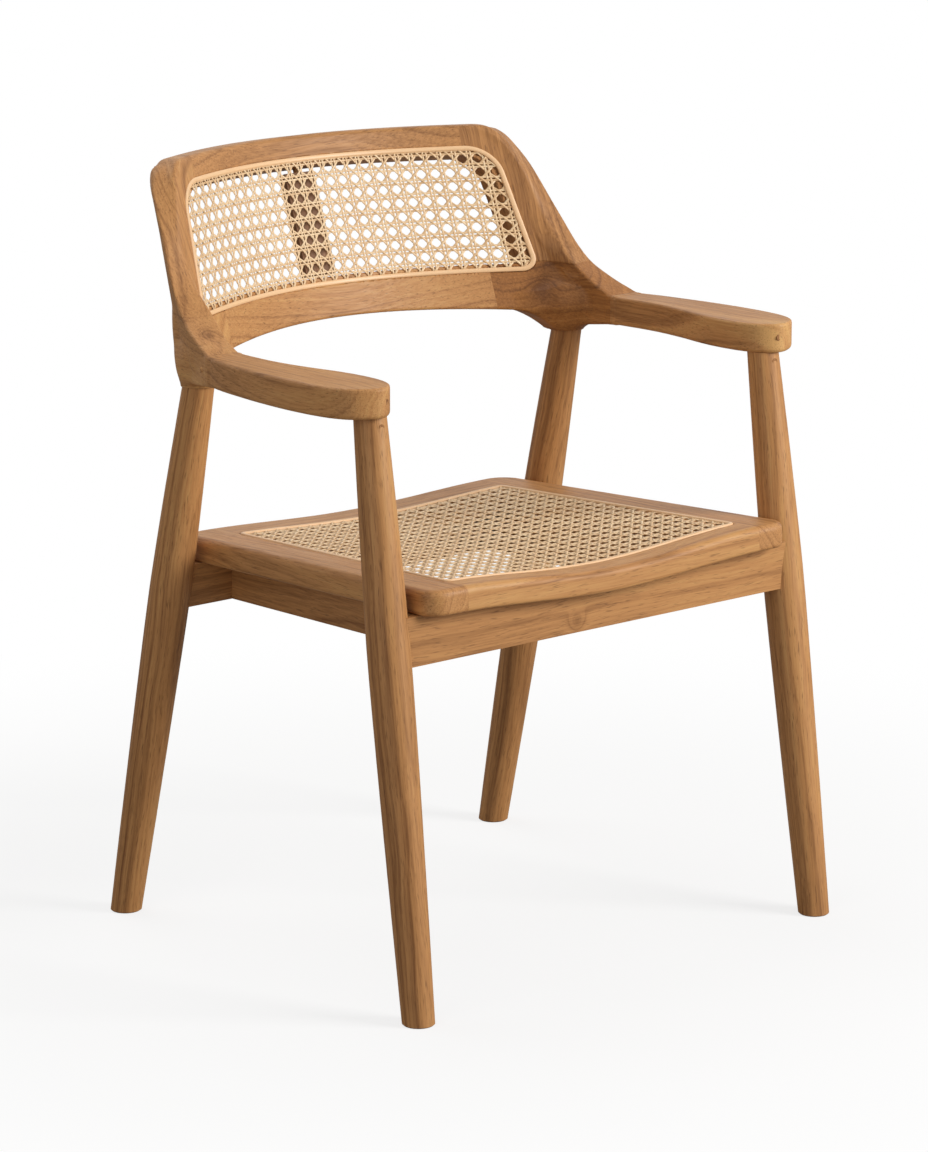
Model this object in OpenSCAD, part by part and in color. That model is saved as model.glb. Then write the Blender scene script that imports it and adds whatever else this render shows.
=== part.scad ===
// Cane dining armchair in solid teak.
// Lengths are millimetres, +Z is up, the front faces -Y, and the origin is
// on the floor at the middle of the chair's overall plan.
// Left and right are as seen by someone who stands in front of the chair.

/* [Legs] */
// Height where the front legs meet the underside of the arms
arm_under_h = 619; // [600:1:640]
// How much lower the rear legs meet the elbows
elbow_drop = 13; // [7:1:20]
// Half the spacing of the front feet, centre line
front_foot_x = 288; // [270:1:310]
// Half the spacing of the rear feet, centre line
rear_foot_x = 272; // [255:1:290]
// Half the distance from front feet to rear feet
foot_y = 256; // [240:1:275]
// Half the spacing of the front legs where they meet the arms
front_top_x = 279; // [272:1:286]
// Distance of the front leg tops in front of the middle of the feet
front_top_y = 173; // [160:1:178]
// Half the spacing of the rear legs where they meet the elbows
rear_top_x = 264; // [258:1:270]
// Distance of the rear leg tops behind the middle of the feet
rear_top_y = 124; // [118:1:130]
// Diameter of a leg at the foot
foot_d = 34; // [28:1:38]
// Diameter of a leg at its thickest
belly_d = 45; // [42:1:48]
// Diameter of a leg at its top
leg_top_d = 34; // [30:1:38]
// Height of the thickest part of a leg
belly_h = 372; // [330:1:400]
// Bevel round the sole of each foot
sole_bevel = 1.5; // [0.5:0.1:3]
// Diameter of the round tenon on top of a leg
tenon_d = 20; // [14:1:22]
// Length of the round tenon on top of a leg
tenon_l = 20; // [12:1:24]

/* [Aprons] */
// Thickness of the front and rear aprons
apron_t = 22; // [18:1:26]
// Thickness of the side aprons
side_apron_t = 20; // [16:1:24]
// Height of the front apron at its ends
front_apron_h = 53; // [45:1:62]
// How much lower the rear apron's lower edge lies than the front apron's
rear_apron_drop = 6; // [0:1:12]
// Distance of the front apron's face in front of the middle of the feet
front_apron_y = 220; // [214:1:224]
// Distance of the rear apron's front face behind the middle of the feet
rear_apron_y = 158; // [154:1:164]
// Half the distance between the outer faces of the side aprons, in front
side_apron_front_x = 206; // [200:1:212]
// Half the distance between the outer faces of the side aprons, behind
side_apron_rear_x = 195; // [190:1:200]
// How far an apron stops short of the middle of its leg
apron_stop = 10; // [7:1:13]
// Length of a corner block along each apron
block_l = 46; // [36:1:56]
// Height of a corner block
block_h = 30; // [24:1:34]

/* [Seat] */
// Height of the seat's front edge at its corners
seat_h = 444; // [425:1:460]
// Slope of the seat down to the back, in degrees
seat_rake = 1.9; // [0:0.1:4]
// Distance of the seat's front edge in front of the middle of the feet
seat_front_y = 242; // [236:1:250]
// Depth of the seat frame from front to back
seat_d = 442; // [430:1:450]
// Half the width of the seat frame in front
seat_front_x = 257; // [248:1:258]
// Half the width of the seat frame behind
seat_rear_x = 236; // [228:1:240]
// Thickness of the seat frame
seat_t = 27; // [22:1:32]
// How far the seat is hollowed in the middle
seat_dish = 10; // [2:1:16]
// Half the width of the hollow
dish_x = 225; // [200:1:230]
// Radius of the rounded corners in front
seat_front_r = 24; // [12:1:30]
// Radius of the rounded corners behind
seat_rear_r = 30; // [12:1:34]
// Half the width of the cane panel in front
panel_front_x = 208; // [198:1:212]
// Half the width of the cane panel behind
panel_rear_x = 191; // [184:1:196]
// Distance from the seat's front edge to the cane panel
panel_front_in = 34; // [30:1:44]
// Distance from the seat's back edge to the cane panel
panel_rear_in = 47; // [38:1:54]
// Radius of the cane panel's corners
panel_r = 7; // [4:1:14]

/* [Cane] */
// Width of the ledge that carries the cane inside its spline
ledge_w = 10; // [6:1:14]
// Depth of the rebate that holds the cane and its spline
rebate_d = 4; // [3:0.5:6]
// Thickness of the woven cane
cane_t = 1.6; // [1.2:0.1:2.2]
// Width of the spline round a cane panel
spline_w = 5; // [4:0.5:7]
// How far the spline stands proud of the wood
spline_proud = 1; // [0:0.2:2]
// Openings across a cane panel, far fewer than the real weave has
open_count = 12; // [4:1:12]
// Cane left between two openings
open_gap = 11; // [8:1:14]
// Cane left between the openings and the ledge
open_margin = 3; // [2:1:6]
// Clearance round pieces that are let into wood
fit_gap = 0.3; // [0.1:0.1:0.5]

/* [Back] */
// Height of the cane panel in the back
window_tall = 138; // [120:1:160]
// Lean of the back from upright, in degrees
lean = 19; // [14:0.5:24]
// Distance of the back's face behind the middle of the feet, at lean height
back_y = 246; // [236:1:256]
// Height above the panel's lower edge at which back_y is taken
lean_up = 72; // [60:1:84]
// Radius of the back's plan curve in the middle
bow_r = 344; // [320:2:400]
// Length over which the plan curve straightens
bow_l = 260; // [250:1:290]
// Thickness of the back frame
back_t = 26; // [22:1:30]
// Height of the crest rail's face above the cane
crest_w = 22; // [18:1:30]
// Height of the cane panel's lower edge above the arms' top face
window_up = 21; // [16:1:26]
// Height of the lower rail's face below the cane
rail_w = 36; // [30:1:42]
// Half the width of the cane panel at its top
window_top_x = 223; // [214:1:228]
// Half the width of the cane panel at its foot
window_low_x = 241; // [234:1:244]
// Radius of the cane panel's top corners
window_top_r = 36; // [24:1:44]
// Radius of the cane panel's lower corners
window_low_r = 16; // [10:1:20]
// How much the crest's rear edge is eased
crest_ease = 4; // [1:0.5:8]
// Half the width of the back's face at its top
crest_x = 236; // [228:1:244]
// Half the width of the back's face at the foot of the stiles
stile_x = 264; // [258:1:268]
// Radius of the back's top corners
crest_r = 43; // [34:1:54]
// How far the turned outer side is set in at the foot of the stiles
side_set = 11; // [4:1:14]
// Turn of the back frame's outer side from straight behind, in degrees
side_turn = 50; // [30:1:56]
// How far the outer edge of a stile bulges out of the back's face
stile_bulge = 26; // [18:1:28]
// Half the length of the crest rail and of the lower rail
back_joint_x = 190; // [184:1:191]
// Height of the joint between stile and elbow above the arms' top face
stile_joint_up = 31; // [28:1:36]
// Width of the slat behind the cane
slat_w = 42; // [30:1:50]
// Thickness of the slat behind the cane
slat_t = 10; // [7:1:12]

/* [Arms] */
// Thickness of the arms
arm_t = 32; // [28:1:36]
// Half the gap between the arms where they leave the elbows
arm_in_x = 270; // [264:1:276]
// Width of an arm where it leaves the elbow
arm_back_w = 41; // [36:1:46]
// Half the gap between the arms at their widest part
arm_hand_x = 252; // [246:1:258]
// Width of an arm at its widest part
arm_hand_w = 75; // [66:1:84]
// Distance of the arms' widest part in front of the middle of the feet
arm_hand_y = 135; // [125:1:145]
// Distance of the arms' tips in front of the middle of the feet
arm_tip_y = 199; // [192:1:206]
// Distance of the joint between arm and elbow behind the middle of the feet
arm_joint_y = 53; // [46:1:60]
// Diameter of the peg that locks each front leg into its arm
peg_d = 7; // [5:1:9]

/* [Fixings] */
// Diameter of the dowels
dowel_d = 8; // [6:1:10]
// Length of the dowels
dowel_l = 34; // [24:1:40]
// Diameter of the wood screws
screw_d = 4.5; // [3.5:0.5:5.5]
// Diameter of the screw heads
screw_head_d = 9; // [7:0.5:10]
// Length of the screws that hold the seat frame down
seat_screw_l = 44; // [38:1:50]
// Length of the screws through the corner blocks
block_screw_l = 34; // [28:1:38]

/* [Hidden] */

teak = "#b98a58";
teak_dark = "#8f6338";
cane_colour = "#e9cfa3";
steel = "#9a9a98";
big = 2000;

// Heights that follow from others
arm_h = arm_under_h + arm_t;
rear_leg_h = arm_under_h - elbow_drop;
window_h = arm_h + window_up;
stile_joint_h = arm_h + stile_joint_up;
lean_h = window_h + lean_up;
back_h = window_h + window_tall + crest_w;
front_apron_z = seat_h - seat_t - front_apron_h;
rear_apron_z = front_apron_z - rear_apron_drop;

// Everything is drawn about the middle of the feet, then moved so that the
// middle of the overall plan lies over the origin.
plan_front = max(foot_y + foot_d / 2, seat_front_y);
plan_back = back_y + tan(lean) * (back_h + crest_ease - lean_h) + back_t * cos(lean);
plan_mid = (plan_back - plan_front) / 2;

// Small helpers
function unit(v) = v / norm(v);
function mix(a, b, f) = a + (b - a) * f;

// Point at fraction f round the arc of radius r that softens corner p
// between its neighbours a and b
function corner_at(a, p, b, r, f) =
    let (u = unit(a - p), v = unit(b - p), half = acos(u * v) / 2,
         mid = p + unit(u + v) * r / sin(half),
         s = p + u * r / tan(half) - mid, e = p + v * r / tan(half) - mid,
         turn = 180 - 2 * half)
    mid + s * sin(turn * (1 - f)) / sin(turn) + e * sin(turn * f) / sin(turn);

// A rounded outline: each entry is x, y and the radius of that corner
function rounded(pts, n = 8) = [for (i = [0 : len(pts) - 1])
    let (k = len(pts), q = pts[(i + k - 1) % k], p = pts[i], w = pts[(i + 1) % k])
    for (j = [0 : p[2] > 0 ? n : 0])
        p[2] > 0 ? corner_at([q[0], q[1]], [p[0], p[1]], [w[0], w[1]], p[2], j / n)
                 : [p[0], p[1]]];

// The same outline with no side longer than step
function divided(pts, step = 12) = [for (i = [0 : len(pts) - 1])
    let (a = pts[i], b = pts[(i + 1) % len(pts)], m = ceil(norm(b - a) / step))
    for (j = [0 : m - 1]) mix(a, b, j / m)];

// Smooth curve through a list of points, n steps between neighbours
function smooth4(a, b, c, d, f) =
    0.5 * (2 * b + (c - a) * f + (2 * a - 5 * b + 4 * c - d) * f * f
        + (3 * b - a - 3 * c + d) * f * f * f);
function smooth_path(k, n) = [for (i = [0 : len(k) - 2]) for (j = [0 : n - 1])
    smooth4(k[max(i - 1, 0)], k[i], k[i + 1], k[min(i + 2, len(k) - 1)], j / n)];

// Solid through rings that have the same number of points each
module loft(rings) {
    n = len(rings[0]);
    m = len(rings);
    sides = [for (i = [0 : m - 2]) for (j = [0 : n - 1])
        let (a = i * n + j, b = i * n + (j + 1) % n)
        for (f = [[a, b, b + n], [a, b + n, a + n]]) f];
    first = [for (j = [1 : n - 2]) [0, j + 1, j]];
    last = [for (j = [1 : n - 2]) [(m - 1) * n, (m - 1) * n + j, (m - 1) * n + j + 1]];
    polyhedron([for (r = rings) for (p = r) p], concat(sides, first, last));
}

// The corners of a section, each cut back by its own amount c
function eased(p, c) = [for (i = [0 : len(p) - 1])
    let (k = len(p), q = p[(i + k - 1) % k], w = p[(i + 1) % k])
    for (s = [p[i] + unit(q - p[i]) * c[i], p[i] + unit(w - p[i]) * c[i]]) s];

module whole() {
    translate([0, -plan_mid, 0]) children();
}

module right_or_left(side) {
    mirror([side < 0 ? 1 : 0, 0, 0]) children();
}

// Turns +Z to run from point a to point b
module along(a, b) {
    d = b - a;
    translate(a) rotate([0, acos(d[2] / norm(d)), atan2(d[1], d[0])]) children();
}

module above(z) {
    translate([-big / 2, -big / 2, z]) cube([big, big, big]);
}

module below(z) {
    translate([-big / 2, -big / 2, z - big]) cube([big, big, big]);
}

// Legs and their tenons
front_foot = [front_foot_x, -foot_y, 0];
rear_foot = [rear_foot_x, foot_y, 0];
front_top = [front_top_x, -front_top_y, arm_under_h];
rear_top = [rear_top_x, rear_top_y, rear_leg_h];

// Radius of a leg at height h: full at the belly, with a slow taper both ways
function leg_r(h, top) = h < belly_h
    ? belly_d / 2 - (belly_d - foot_d) / 2 * pow((belly_h - max(h, 0)) / belly_h, 1.35)
    : belly_d / 2 - (belly_d - leg_top_d) / 2
        * pow((min(h, top) - belly_h) / (top - belly_h), 1.35);

module leg_body(a, b) {
    l = norm(b - a);
    difference() {
        intersection() {
            along(a, b) rotate_extrude($fn = 64) polygon(concat([[0, -12]],
                [for (i = [-1 : 17]) [leg_r(b[2] * i / 16, b[2]), l * i / 16]],
                [[0, l * 17 / 16]]));
            below(b[2]);
            above(0);
        }
        translate(a) difference() {
            translate([0, 0, -1]) cylinder(h = 1 + sole_bevel, d = foot_d * 2, $fn = 64);
            translate([0, 0, -1]) cylinder(h = 1 + sole_bevel,
                d1 = foot_d - 2 * sole_bevel - 2, d2 = foot_d + 0.6, $fn = 64);
        }
    }
}

module leg_tenon(a, b, gap) {
    d = unit(b - a);
    along(b - d * 8, b) rotate([0, 0, 50])
        cylinder(h = 8 + tenon_l + gap * 2, d = tenon_d + gap, $fn = 64);
}

module front_leg(side) {
    color(teak) whole() right_or_left(side) difference() {
        union() {
            leg_body(front_foot, front_top);
            leg_tenon(front_foot, front_top, 0);
        }
        apron_dowel_front();
        arm_peg_pair();
    }
}

module rear_leg(side) {
    color(teak) whole() right_or_left(side) difference() {
        union() {
            leg_body(rear_foot, rear_top);
            leg_tenon(rear_foot, rear_top, 0);
        }
        apron_dowel_rear();
    }
}

// Seat frame, its cane and its spline
module in_seat() {
    translate([0, -seat_front_y, seat_h]) rotate([-seat_rake, 0, 0]) children();
}

// Depth of the hollow at distance x from the middle
function dish_at(x) = abs(x) < dish_x ? seat_dish * pow(cos(90 * x / dish_x), 2) : 0;

// Layer of the hollowed seat from height up above its surface to depth down
module dish_layer(up, down) {
    xs = [for (x = [-320 : 10 : 320]) x];
    k = len(xs);
    rotate([90, 0, 0]) translate([0, 0, -seat_d - 40]) linear_extrude(seat_d + 80)
        polygon(concat([for (x = xs) [x, up - dish_at(x)]],
            [for (i = [0 : k - 1]) [xs[k - 1 - i], -down - dish_at(xs[k - 1 - i])]]));
}

module seat_prism(pts) {
    translate([0, 0, -80]) linear_extrude(160) polygon(pts);
}

seat_plan = rounded([[-seat_front_x, 0, seat_front_r], [seat_front_x, 0, seat_front_r],
    [seat_rear_x, seat_d, seat_rear_r], [-seat_rear_x, seat_d, seat_rear_r]]);
panel_rear_y = seat_d - panel_rear_in;
ledge_in = spline_w + ledge_w;

// Outline of the cane panel, drawn in by i on every side
function panel(i) = rounded([
    [-panel_front_x + i, panel_front_in + i, max(panel_r - i, 1)],
    [panel_front_x - i, panel_front_in + i, max(panel_r - i, 1)],
    [panel_rear_x - i, panel_rear_y - i, max(panel_r - i, 1)],
    [-panel_rear_x + i, panel_rear_y - i, max(panel_r - i, 1)]]);

// Spacing of openings that fill the width w, and how many rows fit in a depth
function open_pitch(w) = (w - 2 * open_margin + open_gap) / open_count;
function open_rows(depth, pitch) = floor((depth - 2 * open_margin + open_gap) / pitch);

// Round openings along X and Y, through a panel that is w wide, about its middle
module open_grid(w, depth) {
    pitch = open_pitch(w);
    rows = open_rows(depth, pitch);
    for (i = [0 : open_count - 1])
        for (j = [0 : rows - 1])
            translate([(i - (open_count - 1) / 2) * pitch, (j - (rows - 1) / 2) * pitch, 0])
                cylinder(h = seat_d, d = pitch - open_gap, center = true, $fn = 24);
}

module seat_frame() {
    difference() {
        intersection() {
            dish_layer(0, seat_t);
            seat_prism(seat_plan);
        }
        seat_prism(panel(ledge_in));
        intersection() {
            dish_layer(10, cane_t);
            seat_prism(panel(spline_w));
        }
        intersection() {
            dish_layer(10, rebate_d);
            difference() {
                seat_prism(panel(0));
                seat_prism(panel(spline_w));
            }
        }
        seat_dowels();
    }
}

// Zones that belong to the front rail and to the back rail, mitred at the ledge
module front_zone() {
    seat_prism([[-panel_front_x, -20], [panel_front_x, -20], [panel_front_x, panel_front_in],
        [panel_front_x - ledge_in - 2, panel_front_in + ledge_in + 2],
        [-panel_front_x + ledge_in + 2, panel_front_in + ledge_in + 2],
        [-panel_front_x, panel_front_in]]);
}

module rear_zone() {
    seat_prism([[-panel_rear_x, seat_d + 20], [-panel_rear_x, panel_rear_y],
        [-panel_rear_x + ledge_in + 2, panel_rear_y - ledge_in - 2],
        [panel_rear_x - ledge_in - 2, panel_rear_y - ledge_in - 2],
        [panel_rear_x, panel_rear_y], [panel_rear_x, seat_d + 20]]);
}

module seat_front_rail() {
    color(teak) whole() difference() {
        in_seat() intersection() {
            seat_frame();
            front_zone();
        }
        seat_screw_set();
    }
}

module seat_back_rail() {
    color(teak) whole() difference() {
        in_seat() intersection() {
            seat_frame();
            rear_zone();
        }
        seat_screw_set();
    }
}

module seat_side_rail(side) {
    color(teak) whole() right_or_left(side) difference() {
        in_seat() difference() {
            seat_frame();
            front_zone();
            rear_zone();
            translate([-big, -big / 2, -big / 2]) cube([big, big, big]);
        }
        seat_screw_set();
    }
}

module seat_cane() {
    color(cane_colour) whole() in_seat() difference() {
        intersection() {
            dish_layer(0, cane_t);
            seat_prism(panel(spline_w + fit_gap));
        }
        translate([0, (panel_front_in + panel_rear_y) / 2, 0])
            open_grid(2 * (panel_rear_x - ledge_in),
                panel_rear_y - panel_front_in - 2 * ledge_in);
    }
}

module seat_spline() {
    color(cane_colour) whole() in_seat() intersection() {
        dish_layer(spline_proud, rebate_d);
        difference() {
            seat_prism(panel(fit_gap));
            seat_prism(panel(spline_w));
        }
    }
}

// One dowel along X through the seat frame's joint at x, at depth y
module seat_dowel(x, y) {
    translate([x, y, -seat_t / 2 - dish_at(x)]) rotate([0, 90, 0])
        cylinder(h = dowel_l, d = dowel_d, center = true, $fn = 32);
}

module seat_dowels() {
    for (s = [-1, 1]) {
        for (y = [0.26, 0.74]) seat_dowel(s * panel_front_x, panel_front_in * y);
        for (y = [0.26, 0.74]) seat_dowel(s * panel_rear_x, panel_rear_y + panel_rear_in * y);
    }
}

module seat_frame_dowels() {
    color(teak_dark) whole() in_seat() seat_dowels();
}

// Aprons under the seat
// Room taken by the seat frame and everything above it
module over_seat() {
    in_seat() dish_layer(200, seat_t);
}

side_run = rear_apron_y + front_apron_y - apron_t;
side_front = [side_apron_front_x, -front_apron_y + apron_t];
side_rear = [side_apron_rear_x, rear_apron_y];

// Point on a leg's centre line at height z
function on_line(a, b, z) = mix(a, b, z / b[2]);
front_leg_mid = on_line(front_foot, front_top, (front_apron_z + seat_h - seat_t) / 2);
rear_leg_mid = on_line(rear_foot, rear_top, (rear_apron_z + seat_h - seat_t) / 2);

module apron_box(reach, y, z) {
    difference() {
        translate([-reach, y, z]) cube([2 * reach, apron_t, 120]);
        over_seat();
    }
}

module front_apron() {
    color(teak) whole() difference() {
        apron_box(front_leg_mid[0] - apron_stop, -front_apron_y, front_apron_z);
        for (s = [-1, 1]) right_or_left(s) {
            leg_body(front_foot, front_top);
            apron_dowel_front();
            side_dowels();
            block_screws(1);
        }
    }
}

module rear_apron() {
    color(teak) whole() difference() {
        apron_box(rear_leg_mid[0] - apron_stop, rear_apron_y, rear_apron_z);
        for (s = [-1, 1]) right_or_left(s) {
            leg_body(rear_foot, rear_top);
            apron_dowel_rear();
            side_dowels();
            block_screws(-1);
        }
    }
}

module side_apron(side) {
    color(teak) whole() right_or_left(side) difference() {
        translate([0, 0, rear_apron_z - 20]) linear_extrude(140) polygon([side_front, side_rear,
            side_rear - [side_apron_t, 0], side_front - [side_apron_t, 0]]);
        over_seat();
        // The lower edge rises from the rear apron to the front apron
        translate([0, rear_apron_y, rear_apron_z])
            rotate([-atan((front_apron_z - rear_apron_z) / side_run), 0, 0])
            translate([-big / 2, 60 - big, -big]) cube([big, big, big]);
        side_dowels();
        block_screws(1);
        block_screws(-1);
    }
}

// Dowels between an apron and its leg
module apron_dowel_front() {
    translate([front_leg_mid[0] - belly_d / 2, -front_apron_y + apron_t / 2, front_leg_mid[2]])
        rotate([0, 90, 0]) cylinder(h = dowel_l, d = dowel_d, center = true, $fn = 32);
}

module apron_dowel_rear() {
    translate([rear_leg_mid[0] - belly_d / 2, rear_apron_y + apron_t / 2, rear_leg_mid[2]])
        rotate([0, 90, 0]) cylinder(h = dowel_l, d = dowel_d, center = true, $fn = 32);
}

// Dowels between a side apron and the front and rear aprons
module side_dowels() {
    for (e = [[side_front, front_apron_z], [side_rear, rear_apron_z]])
        for (h = [14, 30])
            translate([e[0][0] - side_apron_t / 2, e[0][1], e[1] + h]) rotate([90, 0, 0])
                cylinder(h = dowel_l, d = dowel_d, center = true, $fn = 32);
}

module apron_dowels() {
    color(teak_dark) whole() for (s = [-1, 1]) right_or_left(s) {
        apron_dowel_front();
        apron_dowel_rear();
        side_dowels();
    }
}

// Corner blocks and their screws
// Inner corner between an apron and a side apron: e is 1 in front, -1 behind
function block_corner(e) = e > 0 ? side_front - [side_apron_t, 0] : side_rear - [side_apron_t, 0];
function side_lean() = (side_front[0] - side_rear[0]) / (side_rear[1] - side_front[1]);
function block_base(e) = (e > 0 ? front_apron_z : rear_apron_z) + 7;

module block_body(e) {
    p = block_corner(e);
    translate([0, 0, block_base(e)]) linear_extrude(block_h) polygon([p,
        p - [block_l, 0], p - [block_l, -e * 9], p + [-e * side_lean() * block_l - 9, e * block_l],
        p + [-e * side_lean() * block_l, e * block_l]]);
}

// Wood screws through a corner block, one into each apron
module block_screws(e) {
    p = block_corner(e);
    for (k = [[block_l * 0.66, 0.34, 0], [0.34, block_l * 0.66, 90]]) {
        at = k[2] == 0 ? p + [-k[0], e * block_l * k[1]] : p + [-block_l * k[0], e * k[1]];
        translate([at[0], at[1], block_base(e) + (k[2] == 0 ? 9 : 20)])
            rotate(k[2] == 0 ? [e * 90, 0, 0] : [0, 90, 0]) wood_screw(block_screw_l);
    }
}

// A countersunk wood screw whose head is at the origin and which runs to +Z
module wood_screw(l) {
    translate([0, 0, -1]) union() {
        cylinder(h = 1.2, d = screw_head_d, $fn = 32);
        translate([0, 0, 1.2]) cylinder(h = 2.2, d1 = screw_head_d, d2 = screw_d, $fn = 32);
        translate([0, 0, 3.4]) cylinder(h = l - 8, d = screw_d, $fn = 32);
        translate([0, 0, l - 4.6]) cylinder(h = 4.6, d1 = screw_d, d2 = 1, $fn = 32);
    }
}

// Room in front of a screw head, so that it can be driven
module head_room() {
    translate([0, 0, -60]) cylinder(h = 59.2, d = screw_head_d, $fn = 32);
}

module block_head_room(e) {
    p = block_corner(e);
    translate([p[0] - block_l * 0.66, p[1] + e * block_l * 0.34, block_base(e) + 9])
        rotate([e * 90, 0, 0]) head_room();
    translate([p[0] - block_l * 0.34, p[1] + e * block_l * 0.66, block_base(e) + 20])
        rotate([0, 90, 0]) head_room();
}

module corner_block(side, e) {
    color(teak_dark) whole() right_or_left(side) difference() {
        block_body(e);
        over_seat();
        block_screws(e);
        block_head_room(e);
        seat_screw(e);
    }
}

module corner_block_screws() {
    color(steel) whole() for (s = [-1, 1]) right_or_left(s) for (e = [-1, 1]) block_screws(e);
}

// Screw from under a corner block up into the seat frame
module seat_screw(e) {
    p = block_corner(e);
    translate([p[0] - 13, p[1] + e * 15, block_base(e) + 1]) wood_screw(seat_screw_l);
}

module seat_screw_set() {
    for (s = [-1, 1]) right_or_left(s) for (e = [-1, 1]) seat_screw(e);
}

module seat_screws() {
    color(steel) whole() seat_screw_set();
}

// Back frame, its cane and its slat
deg = 180 / PI;
bow_a = bow_l * bow_l / bow_r;

// How far the back's face has curved forward at distance x, measured level
function bow(x) = bow_a * (1 - cos(x / bow_l * deg));
function bow_slope(x) = bow_a / bow_l * sin(x / bow_l * deg);

// Point at depth t behind the back's face, which it leaves at x and height z
function face(x, z, t = 0) =
    [x, back_y + tan(lean) * (z - lean_h) - bow(x), z]
    + t * unit([bow_slope(x), 1, -tan(lean)]);

// The same point of the face in the leaning frame, as seen square to the lean
function leaned(x, z) =
    [x, (z - lean_h) / cos(lean) - bow(x) * sin(lean)];

module in_back() {
    translate([0, back_y, lean_h]) rotate([-lean, 0, 0]) children();
}

// Layer of the bowed back between depths t0 and t1 behind its face
module bow_layer(t0, t1) {
    xs = [for (x = [-320 : 10 : 320]) x];
    k = len(xs);
    c = cos(lean);
    function edge(x, t) = let (n = unit([c * bow_slope(x), 1])) [x, -c * bow(x)] + t * n;
    translate([0, 0, -260]) linear_extrude(500) polygon(concat(
        [for (x = xs) edge(x, t0)], [for (i = [0 : k - 1]) edge(xs[k - 1 - i], t1)]));
}

// Prism square to the lean, through an outline drawn on the face as x and height
module face_prism(pts) {
    rotate([90, 0, 0]) translate([0, 0, -160]) linear_extrude(420)
        polygon([for (p = divided(pts)) leaned(p[0], p[1])]);
}

// Everything on the inner side of a cut through an outline on the face, where
// the cut turns outwards behind by side_turn; drawn for the right-hand side
module side_prism(pts) {
    rotate([0, 0, -side_turn]) rotate([90, 0, 0]) translate([0, 0, -300]) linear_extrude(600)
        polygon([for (p = divided(pts)) let (q = leaned(p[0], p[1]))
            [q[0] * cos(side_turn) + cos(lean) * bow(p[0]) * sin(side_turn), q[1]]]);
}

// Outline of the back's cane panel, drawn in by i on every side
function window(i) =
    let (top = back_h - crest_w - i * cos(lean), low = window_h + i * cos(lean), ix = i * 0.88)
    rounded([[-window_low_x + ix, low, max(window_low_r - i, 1)],
        [window_low_x - ix, low, max(window_low_r - i, 1)],
        [window_top_x - ix, top, max(window_top_r - i, 1)],
        [-window_top_x + ix, top, max(window_top_r - i, 1)]]);

// Frame stock with the cane's opening, ledge and groove cut in it
module back_ring(pts) {
    in_back() difference() {
        intersection() {
            bow_layer(0, back_t);
            face_prism(pts);
        }
        face_prism(window(ledge_in));
        intersection() {
            bow_layer(-10, cane_t);
            face_prism(window(spline_w));
        }
        intersection() {
            bow_layer(-10, rebate_d);
            difference() {
                face_prism(window(0));
                face_prism(window(spline_w));
            }
        }
    }
}

module crest_rail() {
    color(teak) whole() difference() {
        intersection() {
            back_ring([[-back_joint_x, lean_h], [back_joint_x, lean_h],
                [back_joint_x, back_h + crest_ease], [-back_joint_x, back_h + crest_ease]]);
            below(back_h);
        }
        back_dowels();
    }
}

rail_low = window_h - rail_w;

// Height of the lower rail's bottom edge at distance x
function rail_edge(x) = rail_low + 1 - 6 * pow(x / back_joint_x, 2);

// Prism level from front to back, through an outline drawn as x and height
module level_prism(pts) {
    rotate([90, 0, 0]) translate([0, 0, -600]) linear_extrude(900) polygon(pts);
}

module lower_back_rail() {
    color(teak) whole() difference() {
        intersection() {
            back_ring([[-back_joint_x, rail_low - 50], [back_joint_x, rail_low - 50],
                [back_joint_x, lean_h], [-back_joint_x, lean_h]]);
            level_prism(concat(
                [for (x = [-1 : 0.1 : 1.01]) [x * (back_joint_x + 5), rail_edge(x * back_joint_x)]],
                [[back_joint_x + 5, back_h], [-back_joint_x - 5, back_h]]));
        }
        back_dowels();
    }
}

// Half the width of the back's face at height z
function side_x(z) = mix(stile_x, crest_x, (z - stile_joint_h) / (back_h - stile_joint_h));

// Sections of the member that runs down the outer edge of the stile and
// forward into the arm: inner front, outer front, outer back, inner back.
// w is how much wider the back edge is than the front edge.
function stile_section(z, out, turn, w) =
    let (b = face(side_x(z), z))
    [b, b + [out, turn, 0], face(side_x(z) + w, z + 7, back_t),
        face(side_x(z) - 16, z + 3, back_t / 2)];

arm_out_x = arm_in_x + arm_back_w;
member = [
    stile_section(back_h - 18, 4, 5, -14),
    stile_section(back_h - 32, stile_bulge * 0.88, 16, 4),
    stile_section(back_h - 48, stile_bulge * 1.04, 12, 7),
    stile_section(back_h - 62, stile_bulge, 8, 6),
    stile_section(back_h - 93, stile_bulge * 1.08, 4, 3),
    stile_section(back_h - 117, stile_bulge * 1.02, -2, 0),
    [[263, 133, arm_h + 45], [288, 130, arm_h + 45], [273, 164, arm_h + 45], [247, 158, arm_h + 45]],
    [[265, 120, stile_joint_h], [290, 118, stile_joint_h],
        [274, 157, stile_joint_h], [250, 150, stile_joint_h]],
    [[267, 101, arm_h + 18], [296, 101, arm_h + 18], [276, 149, arm_h], [252, 143, arm_h]],
    [[268, 79, arm_h + 8], [303, 78, arm_h + 8], [281, 137, arm_h - 32], [256, 131, arm_h - 34]],
    [[269, 64, arm_h + 3], [307, 64, arm_h + 3], [291, 106, arm_h - 39], [262, 106, arm_h - 39]],
    [[269.5, 57, arm_h + 1], [310, 57, arm_h + 1], [303, 78, arm_under_h - 3],
        [267, 78, arm_under_h - 3]],
    [[arm_in_x, arm_joint_y, arm_h], [arm_out_x, arm_joint_y, arm_h],
        [arm_out_x, arm_joint_y, arm_under_h], [arm_in_x, arm_joint_y, arm_under_h]]];

module member_solid() {
    loft([for (s = member) eased(s, [2, 2, 3, 2])]);
}

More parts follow.
